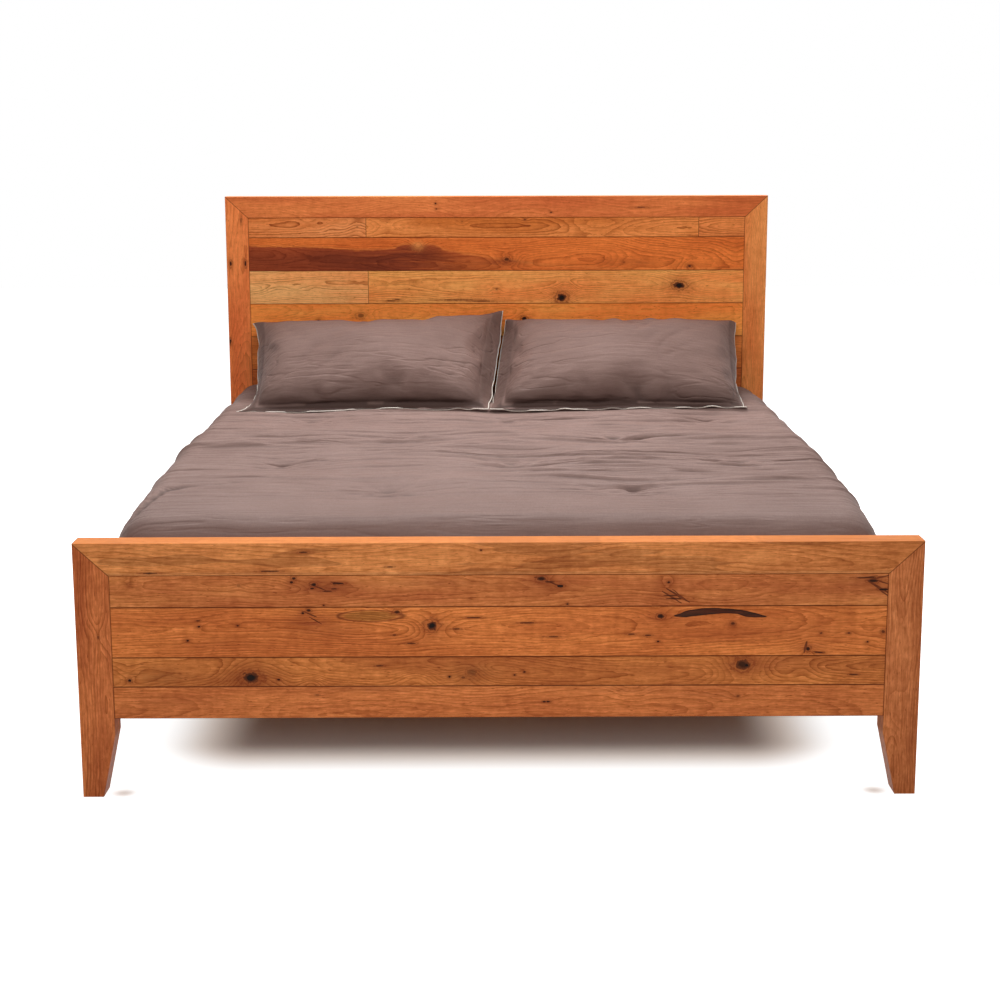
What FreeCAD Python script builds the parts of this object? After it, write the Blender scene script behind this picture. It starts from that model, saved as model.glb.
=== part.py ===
"""King-size wooden bed: plank headboard and footboard in mitred frames, side rails, slats, bedding.

Frame: origin on the floor at the middle of the bed, +Z up, the head towards +Y, the foot towards -Y.
All lengths are in millimetres.
"""

import FreeCAD, Part

import math
import os
import re

import Sketcher

Vector = FreeCAD.Vector

SIZES = [
    # Whole bed
    ("bed_width", 2100, "outer face to outer face of the posts"),
    ("rail_length", 2083, "clear length between the headboard and footboard posts"),
    ("headboard_height", 1432, ""),
    ("footboard_height", 659, ""),
    ("panel_bottom", 207, "floor to the lower edge of the panels and the side rails"),
    # Posts and mitred top rails
    ("post_width", 87, ""),
    ("post_depth", 60, ""),
    ("top_rail_height", 82, ""),
    ("foot_width", 52, "width of a tapered post at the floor"),
    ("taper_height", 162, ""),
    ("edge_round", 3, "eased long edges of posts and rails"),
    # Tongue-and-groove boards
    ("panel_recess", 2, "boards set back from the front of the frame"),
    ("board_thick", 22, ""),
    ("board_chamfer", 1.2, "makes the fine V between boards"),
    ("tongue_thick", 8, ""),
    ("tongue_length", 8, ""),
    ("tongue_fit", 0.3, "clearance all round a tongue"),
    ("head_top_board", 77, "height of the first row of the headboard"),
    ("bottom_rail_height", 163, "lowest member of the headboard"),
    ("bottom_rail_thick", 40, ""),
    ("back_rail_height", 80, "stiffener behind the lowest board of the footboard"),
    ("batten_width", 60, ""),
    ("batten_thick", 20, ""),
    # Mitre splines
    ("spline_length", 70, ""),
    ("spline_width", 30, ""),
    ("spline_thick", 6, ""),
    ("spline_fit", 0.2, ""),
    # Side rails and their hook fittings
    ("rail_inset", 42, "rail set in from the outer face of the posts"),
    ("rail_thick", 25, ""),
    ("rail_height", 200, ""),
    ("plate_thick", 3, ""),
    ("plate_height", 150, ""),
    ("hook_plate_length", 60, ""),
    ("hook_neck", 12, ""),
    ("hook_lip", 8, "how far the hook hangs down behind the post plate"),
    ("hook_lip_thick", 4, ""),
    ("hook_spacing", 70, ""),
    ("hook_fit", 0.4, ""),
    ("post_plate_width", 18, ""),
    ("hook_room_width", 11, "mortise in the post for the hooks"),
    ("hook_room_depth", 12, ""),
    # Slats and centre support
    ("ledger_width", 28, ""),
    ("ledger_height", 29, ""),
    ("slat_thick", 19, ""),
    ("slat_width", 89, ""),
    ("slat_inset", 161.5, "from the ends of the rails to the middle of the outer slats"),
    ("slat_end_gap", 3, "between a slat's end and the rail"),
    ("beam_width", 70, ""),
    ("beam_height", 36, ""),
    ("hanger_thick", 2.5, ""),
    ("hanger_depth", 40, ""),
    ("hanger_flange", 28, "back plate above the beam"),
    ("leg_side", 45, ""),
    ("leg_inset", 481.5, "from the ends of the rails to the middle of the outer legs"),
    ("leg_clearance", 17.6, "floor to the wood of a centre leg, its foot wound right in"),
    ("stud_diameter", 10, ""),
    ("stud_length", 46, ""),
    ("stud_gap", 0.3, "under the stud and its hexagon"),
    ("stud_fit", 0.05, "radial clearance of the thread in its nut and pad"),
    ("stud_room", 1, "radial clearance of the bore above the nut"),
    ("stud_room_length", 44, ""),
    ("hexagon_side", 9, ""),
    ("hexagon_height", 5, ""),
    ("pad_diameter", 40, ""),
    ("pad_height", 8, ""),
    ("pad_boss_diameter", 16, ""),
    ("pad_boss_height", 4, ""),
    ("pad_round", 2, ""),
    ("nut_flange_diameter", 22, ""),
    ("nut_flange_thick", 1.5, ""),
    ("nut_barrel_diameter", 13, ""),
    ("nut_barrel_length", 12, ""),
    # Wood screws
    ("screw_diameter", 4, ""),
    ("screw_head_diameter", 8, ""),
    ("screw_head_height", 2.4, ""),
    ("slat_screw_length", 40, ""),
    ("plate_screw_length", 20, ""),
    ("plate_screw_spacing", 40, ""),
    # Box springs and mattress
    ("mattress_height", 255, ""),
    ("mattress_side_gap", 18, "to each side rail"),
    ("mattress_head_gap", 6, "to the headboard"),
    ("mattress_foot_gap", 47, "to the footboard"),
    ("mattress_corner", 70, ""),
    ("mattress_round", 25, ""),
    ("box_height", 140, ""),
    ("box_gap", 6, "between the two halves"),
    ("box_corner", 40, ""),
    ("box_round", 8, ""),
    # Comforter
    ("comforter_top", 30, "loft above the mattress at the shoulder"),
    ("comforter_crown", 9, "extra loft in the middle"),
    ("comforter_foot", 34, "loft over the foot of the mattress"),
    ("comforter_shoulder", 80, "radius over the long edges"),
    ("comforter_bulge", 80, "outer face beyond the side of the mattress"),
    ("comforter_draw", 74, "how far the sides draw in at the foot"),
    ("comforter_flare", 10, "hem beyond the shoulder"),
    ("comforter_fold", 9, "half depth of the hanging folds"),
    ("comforter_hem_drop", 77, "hem below the upper edge of the side rails"),
    ("comforter_tuck_rise", 23, "the part tucked in at the foot ends above that edge"),
    ("comforter_head_gap", 1, ""),
    ("comforter_rail_gap", 1.5, "between the hanging side and the side rail"),
    ("comforter_corner", 110, "plan radius at the foot"),
    ("comforter_foot_round", 90, ""),
    ("mattress_edge_room", 10, "hollow under the comforter at the mattress edge"),
    ("tuft_radius", 60, ""),
    ("tuft_depth", 9, ""),
    ("tuft_shift", 35, "pattern off the middle of the bed"),
    # Pillows
    ("pillow_side_inset", 47, "a pillow's outer edge in from the side of the mattress"),
    ("pillow_gap", 5, "between the two pillows"),
    ("pillow_height", 486, "filled part"),
    ("pillow_thick", 220, ""),
    ("pillow_flange", 40, "flat border of the sham"),
    ("pillow_flange_thick", 5, ""),
    ("pillow_waist", 12, "how far the long sides draw in between the corners"),
    ("pillow_flare", 31, "how far the outer ends lean outwards"),
    ("pillow_meeting_slant", 57, "how far the line between the pillows leans to the right"),
    ("pillow_head_gap", 40, "between a pillow's upper edge and the headboard"),
    ("pillow_sink", 5, "how far a pillow settles into the comforter"),
    ("pillow_clearance", 0.3, ""),
]

# Shares chosen by hand from the photograph.
ROW_1_JOINT_SHARES = (0.237, 0.907)
ROW_3_JOINT_SHARE = 0.24
# Heights of the upper footboard rows as shares of the panel; the last row takes the rest.
FOOT_ROW_SHARES = (0.2216, 0.3486, 0.2054)
BATTEN_SPACING_SHARE = 0.4984
TUFT_PITCH_ACROSS_SHARE = 0.3523
TUFT_PITCH_ALONG_SHARE = 0.166
DRAPE_START_SHARE = 0.2
PILLOW_TILT_DEG = 28

HEAD_ROWS = 8
SLATS = 6
CENTRE_LEGS = 3
HANGING_FOLDS = 7
TUFT_ROWS = 5

doc = FreeCAD.newDocument("wooden_bed")
sheet = doc.addObject("Spreadsheet::Sheet", "Sizes")
for row, (alias, value, note) in enumerate(SIZES, 1):
    sheet.set(f"A{row}", alias)
    sheet.set(f"B{row}", str(value))
    sheet.set(f"C{row}", note)
    sheet.setAlias(f"B{row}", alias)
doc.recompute()

ALIASES = {alias for alias, _, _ in SIZES}
pieces = []


def formula(text):
    """Turns plain size names into references to the sheet."""
    return re.sub(r"[a-z]\w*", lambda m: f"Sizes.{m[0]}" if m[0] in ALIASES else m[0], text)


def size(text):
    """The present value of a formula over the sheet."""
    value = sheet.evalExpression(formula(text))
    return float(getattr(value, "Value", value))


def place(item, x="0", y="0", z="0"):
    """Binds an item's position to the sheet."""
    for axis, text in zip("xyz", (x, y, z)):
        item.setExpression(f"Placement.Base.{axis}", formula(text))
    return item


def piece(item, label):
    """Marks a finished sub-part, whose label names its file."""
    item.Label = label
    pieces.append(item)
    return item


def box(name, x, y, z, length, width, height):
    item = doc.addObject("Part::Box", name)
    for prop, text in (("Length", length), ("Width", width), ("Height", height)):
        item.setExpression(prop, formula(text))
    return place(item, x, y, z)


def cylinder(name, x, y, z, diameter, height):
    item = doc.addObject("Part::Cylinder", name)
    item.setExpression("Radius", formula(f"({diameter}) / 2"))
    item.setExpression("Height", formula(height))
    return place(item, x, y, z)


def group(name, members):
    item = doc.addObject("Part::Compound", name)
    item.Links = members
    return item


def cut(name, base, tools):
    item = doc.addObject("Part::Cut", name)
    item.Base = base
    item.Tool = tools[0] if len(tools) == 1 else group(name + "_tools", tools)
    return item


def fuse(name, members):
    item = doc.addObject("Part::MultiFuse", name)
    item.Shapes = members
    return item


def mirror(name, source, normal):
    """A copy on the other side of the bed's middle plane."""
    item = doc.addObject("Part::Mirroring", name)
    item.Source = source
    item.Normal = normal
    return item


ACROSS = (1, 0, 0)
ALONG = (0, 1, 0)


def prism(name, plane, points, depth):
    """A body whose sketch, a polygon of formulas, is padded towards +X, +Y or +Z."""
    body = doc.addObject("PartDesign::Body", name)
    sketch = body.newObject("Sketcher::SketchObject", name + "_outline")
    origin_plane = next(f for f in body.Origin.OriginFeatures if f.Role == plane)
    sketch.AttachmentSupport = [(origin_plane, "")]
    sketch.MapMode = "FlatFace"
    corners = [(size(u), size(v)) for u, v in points]
    for start, end in zip(corners, corners[1:] + corners[:1]):
        sketch.addGeometry(Part.LineSegment(Vector(*start), Vector(*end)), False)
    for i in range(len(corners)):
        sketch.addConstraint(Sketcher.Constraint("Coincident", i, 2, (i + 1) % len(corners), 1))
    for i, texts in enumerate(points):
        for kind, text, value in zip(("DistanceX", "DistanceY"), texts, corners[i]):
            index = sketch.addConstraint(Sketcher.Constraint(kind, i, 1, value))
            sketch.setExpression(f"Constraints[{index}]", formula(text))
    pad = body.newObject("PartDesign::Pad", name + "_pad")
    pad.Profile = sketch
    pad.Reversed = plane == "XZ_Plane"
    pad.setExpression("Length", formula(depth))
    doc.recompute()
    return body


def rectangle(width, height):
    return [("0", "0"), (width, "0"), (width, height), ("0", height)]


def round_edges(body, radius, wanted):
    """Rounds the edges of a body whose end points (lists of two vectors) are wanted."""
    tip = body.Tip
    names = []
    for i, edge in enumerate(tip.Shape.Edges, 1):
        ends = [vertex.Point for vertex in edge.Vertexes]
        if len(ends) == 2 and wanted(*ends):
            names.append(f"Edge{i}")
    fillet = body.newObject("PartDesign::Fillet", body.Name + "_round" + str(len(body.Group)))
    fillet.Base = (tip, names)
    fillet.setExpression("Radius", formula(radius))
    doc.recompute()
    return body


def same(a, b):
    return math.isclose(a, b, abs_tol=1e-4)


# Where the main faces lie
HEAD_FACE = "rail_length / 2"
FOOT_FACE = "0 - rail_length / 2 - post_depth"
CLEAR_WIDTH = "(bed_width - 2 * post_width)"
RAIL_OUTER = "(bed_width / 2 - rail_inset)"
RAIL_INNER = "(bed_width / 2 - rail_inset - rail_thick)"
RAIL_TOP = "(panel_bottom + rail_height)"
LEDGER_TOP = "(panel_bottom + ledger_height)"
SLAT_TOP = f"({LEDGER_TOP} + slat_thick)"
BEAM_BOTTOM = f"({LEDGER_TOP} - beam_height)"
MATTRESS_TOP = f"({SLAT_TOP} + box_height + mattress_height)"
MATTRESS_HALF = f"({RAIL_INNER} - mattress_side_gap)"
MATTRESS_LENGTH = "(rail_length - mattress_head_gap - mattress_foot_gap)"
MATTRESS_FOOT = "(mattress_foot_gap - rail_length / 2)"
TONGUE_FRONT = "((board_thick - tongue_thick) / 2)"
GROOVE_FRONT = f"(panel_recess + {TONGUE_FRONT} - tongue_fit)"
GROOVE_WIDTH = "(tongue_thick + 2 * tongue_fit)"
GROOVE_DEPTH = "(tongue_length + tongue_fit)"


# Screws: one solid each, laid out by loops
def screw(length, tip, direction):
    """A countersunk wood screw with its head flush at the point tip and its shank along direction."""
    head_height = size("screw_head_height")
    shank_radius = size("screw_diameter") / 2
    head = Part.makeCone(size("screw_head_diameter") / 2, shank_radius, head_height, tip, direction)
    shank = Part.makeCylinder(shank_radius, length - head_height, tip + direction * head_height, direction)
    return head.fuse(shank).removeSplitter()


def screw_group(name, solids):
    item = doc.addObject("Part::Feature", name)
    item.Shape = Part.makeCompound(solids)
    return item


# Headboard and footboard frames
def post(name, height, y, fitting_tools, plate_screws):
    """A left post: mitred at the top, tapered inside at the floor, grooved for the boards."""
    outline = [
        ("0", "0"),
        ("foot_width", "0"),
        ("post_width", "taper_height"),
        ("post_width", f"{height} - top_rail_height"),
        ("0", height),
    ]
    body = prism(name + "_blank", "XZ_Plane", outline, "post_depth")
    mitre_foot = size(f"{height} - top_rail_height")

    def long_edge(a, b):
        return same(a.y, b.y) and min(a.z, b.z) < mitre_foot - 1e-3

    round_edges(body, "edge_round", long_edge)
    place(body, "0 - bed_width / 2", y)
    groove = box(
        name + "_groove",
        f"0 - bed_width / 2 + post_width - {GROOVE_DEPTH}",
        f"{y} + {GROOVE_FRONT}",
        "panel_bottom",
        f"{GROOVE_DEPTH} + edge_round",
        GROOVE_WIDTH,
        f"{height} - top_rail_height - panel_bottom",
    )
    return cut(name, body, [groove, *fitting_tools, plate_screws])


def spline_box(name, height, y, fit):
    """The spline across a left mitre, or its slot when fit is its clearance."""
    item = box(
        name,
        "0",
        "0",
        "0",
        f"spline_length + 2 * ({fit})",
        f"spline_thick + 2 * ({fit})",
        f"spline_width + 2 * ({fit})",
    )
    turn = "atan(top_rail_height / post_width)"
    half_length = f"(spline_length / 2 + {fit})"
    half_width = f"(spline_width / 2 + {fit})"
    item.Placement.Rotation = FreeCAD.Rotation(Vector(0, 1, 0), 1)
    item.setExpression("Placement.Rotation.Angle", formula(turn))
    return place(
        item,
        f"0 - bed_width / 2 + post_width / 2 - cos({turn}) * {half_length} - sin({turn}) * {half_width}",
        f"{y} + post_depth / 2 - spline_thick / 2 - {fit}",
        f"{height} - top_rail_height / 2 + sin({turn}) * {half_length} - cos({turn}) * {half_width}",
    )


def top_rail(name, height, y, slot):
    """The mitred top rail, grooved underneath for the first row of boards."""
    outline = [
        ("0", "top_rail_height"),
        ("post_width", "0"),
        ("bed_width - post_width", "0"),
        ("bed_width", "top_rail_height"),
    ]
    body = prism(name + "_blank", "XZ_Plane", outline, "post_depth")
    round_edges(body, "edge_round", lambda a, b: same(a.y, b.y) and same(a.z, b.z))
    place(body, "0 - bed_width / 2", y, f"{height} - top_rail_height")
    groove = box(
        name + "_groove",
        f"0 - {CLEAR_WIDTH} / 2",
        f"{y} + {GROOVE_FRONT}",
        f"{height} - top_rail_height",
        CLEAR_WIDTH,
        GROOVE_WIDTH,
        GROOVE_DEPTH,
    )
    return cut(name, body, [groove, slot, mirror(name + "_right_slot", slot, ACROSS)])


# Side-rail fittings at the left head corner, mirrored to the other three
def post_plate():
    plate = box(
        "plate_blank",
        f"0 - {RAIL_INNER} + plate_thick / 2 - post_plate_width / 2",
        HEAD_FACE,
        "panel_bottom + (rail_height - plate_height) / 2",
        "post_plate_width",
        "plate_thick",
        "plate_height",
    )
    slots = [
        box(
            f"plate_slot_{i}",
            f"0 - {RAIL_INNER} - hook_fit",
            HEAD_FACE,
            f"{hook_foot(i)} - hook_lip - hook_fit",
            "plate_thick + 2 * hook_fit",
            "plate_thick",
            "hook_neck + 2 * hook_lip + 2 * hook_fit",
        )
        for i in range(2)
    ]
    return plate, cut("plate_slotted", plate, slots)


def hook_foot(i):
    """The lower side of a hook's neck."""
    return f"(panel_bottom + rail_height / 2 + ({i} - 0.5) * hook_spacing - hook_neck / 2)"


def hook_plate():
    """The plate on the inside of the rail, with two hooks that pass the post plate and hang behind it."""
    low = "(rail_height - plate_height) / 2"
    end = "hook_plate_length"
    behind = f"{end} + plate_thick + hook_fit"
    tip = f"{behind} + hook_lip_thick"
    outline = [("0", low), (end, low)]
    for i in range(2):
        neck = f"({hook_foot(i)} - panel_bottom)"
        outline += [
            (end, neck),
            (behind, neck),
            (behind, f"{neck} - hook_lip"),
            (tip, f"{neck} - hook_lip"),
            (tip, f"{neck} + hook_neck"),
            (end, f"{neck} + hook_neck"),
        ]
    outline += [(end, f"{low} + plate_height"), ("0", f"{low} + plate_height")]
    body = prism("hook_blank", "YZ_Plane", outline, "plate_thick")
    return place(body, f"0 - {RAIL_INNER}", f"{HEAD_FACE} - hook_plate_length", "panel_bottom")


def plate_screw_solids():
    """Two screws through each plate of the left head corner."""
    middle = size("panel_bottom + rail_height / 2")
    length = size("plate_screw_length")
    face = size(HEAD_FACE)
    inner = size(RAIL_INNER)
    thick = size("plate_thick")
    across = size("plate_screw_spacing")
    solids = []
    for side in (-1, 1):
        on_rail = Vector(thick - inner, face - size("hook_plate_length") / 2, middle + side * across / 2)
        solids.append(screw(length, on_rail, Vector(-1, 0, 0)))
        far = size("(plate_height - screw_head_diameter) / 2") - thick
        on_post = Vector(thick / 2 - inner, face, middle + side * far)
        solids.append(screw(length, on_post, Vector(0, 1, 0)))
    return solids


plate_screws_left_head = screw_group("plate_screws_left_head", plate_screw_solids())
plate_screws_left_foot = mirror("plate_screws_left_foot", plate_screws_left_head, ALONG)
plate_recess, slotted_plate = post_plate()
hook_room = box(
    "hook_room",
    f"0 - {RAIL_INNER} + plate_thick / 2 - hook_room_width / 2",
    f"{HEAD_FACE} + plate_thick",
    "panel_bottom + rail_height / 2 - hook_spacing / 2 - hook_neck / 2 - hook_lip - hook_fit",
    "hook_room_width",
    "hook_room_depth",
    "hook_spacing + hook_neck + 2 * hook_lip + 2 * hook_fit",
)
head_tools = [plate_recess, hook_room]
foot_tools = [mirror(tool.Name + "_foot", tool, ALONG) for tool in head_tools]

splines = []
for end, height, y, tools, screws in (
    ("head", "headboard_height", HEAD_FACE, head_tools, plate_screws_left_head),
    ("foot", "footboard_height", FOOT_FACE, foot_tools, plate_screws_left_foot),
):
    slot = spline_box(f"{end}_spline_slot", height, y, "spline_fit")
    spline = spline_box(f"{end}_spline", height, y, "0")
    splines += [spline, mirror(f"{end}_spline_right", spline, ACROSS)]
    left = post(f"{end}_post", height, y, [slot, *tools], screws)
    piece(left, f"{end}_post_left")
    piece(mirror(f"{end}_post_mirrored", left, ACROSS), f"{end}_post_right")
    piece(top_rail(f"{end}_rail", height, y, slot), f"{end}_top_rail")
piece(group("splines", splines), "mitre_splines")


# Boards
def board(name, z, height, y, start="0", end=CLEAR_WIDTH, thick="board_thick", grooved=True):
    """One board, from start to end along the clear width between the posts.

    Its upper edge has a tongue, its lower edge a groove, and an end that meets a post has a tongue,
    above which the upper tongue is cut back to the shoulder.
    """
    back = f"({TONGUE_FRONT} + tongue_thick)"
    outline = [
        ("0", "board_chamfer"),
        ("0", f"{height} - board_chamfer"),
        ("board_chamfer", height),
        (TONGUE_FRONT, height),
        (TONGUE_FRONT, f"{height} + tongue_length"),
        (back, f"{height} + tongue_length"),
        (back, height),
        (thick, height),
        (thick, "0"),
    ]
    if grooved:
        outline += [
            (f"{back} + tongue_fit", "0"),
            (f"{back} + tongue_fit", GROOVE_DEPTH),
            (f"{TONGUE_FRONT} - tongue_fit", GROOVE_DEPTH),
            (f"{TONGUE_FRONT} - tongue_fit", "0"),
        ]
    outline.append(("board_chamfer", "0"))
    left_tongue = "tongue_length" if start == "0" else "0"
    right_tongue = "tongue_length" if end == CLEAR_WIDTH else "0"
    x = f"(0 - {CLEAR_WIDTH} / 2 + {start} - {left_tongue})"
    length = f"({end} - {start} + {left_tongue} + {right_tongue})"
    body = prism(name + "_blank", "YZ_Plane", outline, length)
    place(body, x, f"{y} + panel_recess", z)
    shoulders = []
    for side, tongue, x_shoulder in (
        ("left", left_tongue, x),
        ("right", right_tongue, f"({x} + {length} - tongue_length)"),
    ):
        if tongue == "0":
            continue
        for face, y_shoulder, z_shoulder, depth, tall in (
            ("front", "panel_recess", z, TONGUE_FRONT, height),
            ("back", f"panel_recess + {back}", z, f"{thick} - {back}", height),
            ("top", "panel_recess", f"{z} + {height}", back, "tongue_length"),
        ):
            shoulders.append(
                box(
                    f"{name}_{side}_{face}",
                    x_shoulder,
                    f"{y} + {y_shoulder}",
                    z_shoulder,
                    "tongue_length",
                    depth,
                    tall,
                )
            )
    return piece(cut(name, body, shoulders) if shoulders else body, name)


def joint_at(share):
    return f"({share} * {CLEAR_WIDTH})"


def headboard_boards():
    """Rows from the top down; rows 1 and 3 are jointed along their length."""
    top = "(headboard_height - top_rail_height)"
    first, last = map(joint_at, ROW_1_JOINT_SHARES)
    z = f"({top} - head_top_board)"
    height = f"(({z} - panel_bottom - bottom_rail_height) / {HEAD_ROWS - 1})"
    board("head_board_1_left", z, "head_top_board", HEAD_FACE, end=first)
    board("head_board_1_middle", z, "head_top_board", HEAD_FACE, start=first, end=last)
    board("head_board_1_right", z, "head_top_board", HEAD_FACE, start=last)
    for row in range(2, HEAD_ROWS + 1):
        z = f"(panel_bottom + bottom_rail_height + {HEAD_ROWS - row} * {height})"
        if row == 3:
            middle = joint_at(ROW_3_JOINT_SHARE)
            board("head_board_3_left", z, height, HEAD_FACE, end=middle)
            board("head_board_3_right", z, height, HEAD_FACE, start=middle)
        else:
            board(f"head_board_{row}", z, height, HEAD_FACE)
    board(
        "head_bottom_rail",
        "panel_bottom",
        "bottom_rail_height",
        HEAD_FACE,
        thick="bottom_rail_thick",
        grooved=False,
    )


def footboard_boards():
    """Rows from the top down; the last fills what is left above the lower edge."""
    z = "(footboard_height - top_rail_height)"
    panel = f"({z} - panel_bottom)"
    for row, share in enumerate(FOOT_ROW_SHARES, 1):
        height = f"({share} * {panel})"
        z = f"({z} - {height})"
        board(f"foot_board_{row}", z, height, FOOT_FACE)
    board("foot_board_4", "panel_bottom", f"({z} - panel_bottom)", FOOT_FACE, grooved=False)


def battens(end, z, height, y):
    """Two upright battens behind the boards."""
    left = box(
        f"{end}_batten",
        f"0 - {BATTEN_SPACING_SHARE / 2} * {CLEAR_WIDTH} - batten_width / 2",
        f"{y} + panel_recess + board_thick",
        z,
        "batten_width",
        "batten_thick",
        height,
    )
    piece(left, f"{end}_batten_left")
    piece(mirror(f"{end}_batten_mirrored", left, ACROSS), f"{end}_batten_right")


headboard_boards()
footboard_boards()
BOTTOM_RAIL_TOP = "(panel_bottom + bottom_rail_height)"
battens("head", BOTTOM_RAIL_TOP, f"headboard_height - top_rail_height - {BOTTOM_RAIL_TOP}", HEAD_FACE)
BACK_RAIL_TOP = "(panel_bottom + back_rail_height)"
BACK_RAIL_THICK = "(post_depth - 2 * panel_recess - board_thick)"
battens("foot", BACK_RAIL_TOP, f"footboard_height - top_rail_height - {BACK_RAIL_TOP}", FOOT_FACE)
piece(
    box(
        "back_rail",
        f"0 - {CLEAR_WIDTH} / 2",
        f"{FOOT_FACE} + panel_recess + board_thick",
        "panel_bottom",
        CLEAR_WIDTH,
        BACK_RAIL_THICK,
        "back_rail_height",
    ),
    "foot_back_rail",
)


# Side rails, ledgers, slats
def side_rails():
    body = prism("rail_blank", "XZ_Plane", rectangle("rail_thick", "rail_height"), "rail_length")
    round_edges(body, "edge_round", lambda a, b: not same(a.y, b.y))
    place(body, f"0 - {RAIL_OUTER}", "0 - rail_length / 2", "panel_bottom")
    left = cut("side_rail", body, [plate_screws_left_head, plate_screws_left_foot])
    piece(left, "side_rail_left")
    piece(mirror("side_rail_mirrored", left, ACROSS), "side_rail_right")


def slat_y(i):
    return f"({i / (SLATS - 1) - 0.5} * (rail_length - 2 * slat_inset))"


def slats_and_ledgers():
    screw_x = size(f"{RAIL_INNER} - ledger_width / 2")
    top = size(SLAT_TOP)
    length = size("slat_screw_length")
    solids = [
        screw(length, Vector(side * screw_x, size(slat_y(i)), top), Vector(0, 0, -1))
        for i in range(SLATS)
        for side in (-1, 1)
    ]
    screws = piece(screw_group("slat_screw_group", solids), "slat_screws")
    for side, x in (("left", f"0 - {RAIL_INNER}"), ("right", f"{RAIL_INNER} - ledger_width")):
        blank = box(
            f"ledger_{side}_blank",
            x,
            "0 - rail_length / 2 + hook_plate_length",
            "panel_bottom",
            "ledger_width",
            "rail_length - 2 * hook_plate_length",
            "ledger_height",
        )
        piece(cut(f"ledger_{side}", blank, [screws]), f"rail_ledger_{side}")
    for i in range(SLATS):
        blank = box(
            f"slat_{i + 1}_blank",
            f"0 - {RAIL_INNER} + slat_end_gap",
            f"{slat_y(i)} - slat_width / 2",
            LEDGER_TOP,
            f"2 * {RAIL_INNER} - 2 * slat_end_gap",
            "slat_width",
            "slat_thick",
        )
        piece(cut(f"slat_{i + 1}_drilled", blank, [screws]), f"slat_{i + 1}")


def fittings():
    """Hook plates, post plates and their screws at all four corners, one node for each kind."""
    hooks = cut("hook_plate_drilled", hook_plate(), [plate_screws_left_head])
    plates = cut("post_plate_drilled", slotted_plate, [plate_screws_left_head])
    kinds = ((hooks, "hook_plates"), (plates, "post_plates"), (plate_screws_left_head, "plate_screws"))
    for corner, label in kinds:
        foot = mirror(label + "_foot", corner, ALONG)
        left = [corner, foot]
        right = [mirror(f"{label}_right_{i}", item, ACROSS) for i, item in enumerate(left)]
        piece(group(label + "_group", left + right), label)


side_rails()
slats_and_ledgers()
fittings()


# Centre support
BEAM_END = "(rail_length / 2 + panel_recess - hanger_thick)"


def centre_beam():
    beam = box(
        "beam",
        "0 - beam_width / 2",
        f"0 - {BEAM_END}",
        BEAM_BOTTOM,
        "beam_width",
        f"2 * {BEAM_END}",
        "beam_height",
    )
    piece(beam, "centre_beam")
    seat = box(
        "hanger_seat",
        "0 - beam_width / 2 - hanger_thick",
        f"{BEAM_END} - hanger_depth",
        f"{BEAM_BOTTOM} - hanger_thick",
        "beam_width + 2 * hanger_thick",
        "hanger_depth",
        "hanger_thick + beam_height",
    )
    back = box(
        "hanger_back",
        "0 - beam_width / 2 - hanger_thick",
        BEAM_END,
        f"{BEAM_BOTTOM} - hanger_thick",
        "beam_width + 2 * hanger_thick",
        "hanger_thick",
        "hanger_thick + beam_height + hanger_flange",
    )
    hanger = cut("hanger", fuse("hanger_blank", [seat, back]), [beam])
    piece(group("hangers", [hanger, mirror("hanger_foot", hanger, ALONG)]), "beam_hangers")


def centre_leg(number, y):
    """A leg under the beam with a threaded nut, a stud that turns in it and a pad on the stud."""
    thread = "stud_diameter + 2 * stud_fit"
    stud_bottom = "(pad_height + stud_gap)"
    blank = box(
        f"leg_{number}_blank",
        "0 - leg_side / 2",
        f"{y} - leg_side / 2",
        "leg_clearance",
        "leg_side",
        "leg_side",
        f"{BEAM_BOTTOM} - leg_clearance",
    )
    bottom = "leg_clearance"
    flange = cylinder(f"nut_flange_{number}", "0", y, bottom, "nut_flange_diameter", "nut_flange_thick")
    barrel = cylinder(f"nut_barrel_{number}", "0", y, bottom, "nut_barrel_diameter", "nut_barrel_length")
    bore = cylinder(
        f"leg_bore_{number}",
        "0",
        y,
        "leg_clearance",
        "stud_diameter + 2 * stud_room",
        "stud_room_length",
    )
    nut_blank = fuse(f"nut_blank_{number}", [flange, barrel])
    leg = cut(f"leg_{number}", cut(f"leg_{number}_seat", blank, [nut_blank]), [bore])
    piece(leg, f"centre_leg_{number}")
    nut_thread = cylinder(f"nut_thread_{number}", "0", y, "leg_clearance", thread, "nut_barrel_length")
    nut = cut(f"nut_{number}", nut_blank, [nut_thread])
    shank = cylinder(f"shank_{number}", "0", y, stud_bottom, "stud_diameter", "stud_length")
    hexagon = doc.addObject("Part::Prism", f"hexagon_{number}")
    hexagon.Polygon = 6
    hexagon.setExpression("Circumradius", formula("hexagon_side"))
    hexagon.setExpression("Height", formula("hexagon_height"))
    place(hexagon, "0", y, "pad_height + pad_boss_height + stud_gap")
    piece(fuse(f"stud_{number}", [shank, hexagon]), f"leveller_stud_{number}")
    disc = doc.addObject("Part::Cone", f"pad_rim_{number}")
    disc.setExpression("Radius1", formula("pad_diameter / 2"))
    disc.setExpression("Radius2", formula("pad_diameter / 2 - pad_round"))
    disc.setExpression("Height", formula("pad_height"))
    place(disc, "0", y, "0")
    boss = cylinder(f"pad_boss_{number}", "0", y, "pad_height", "pad_boss_diameter", "pad_boss_height")
    socket = cylinder(f"pad_socket_{number}", "0", y, "pad_height", thread, "pad_boss_height")
    pad = cut(f"pad_{number}", fuse(f"pad_blank_{number}", [disc, boss]), [socket])
    piece(pad, f"leveller_pad_{number}")
    return nut


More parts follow.
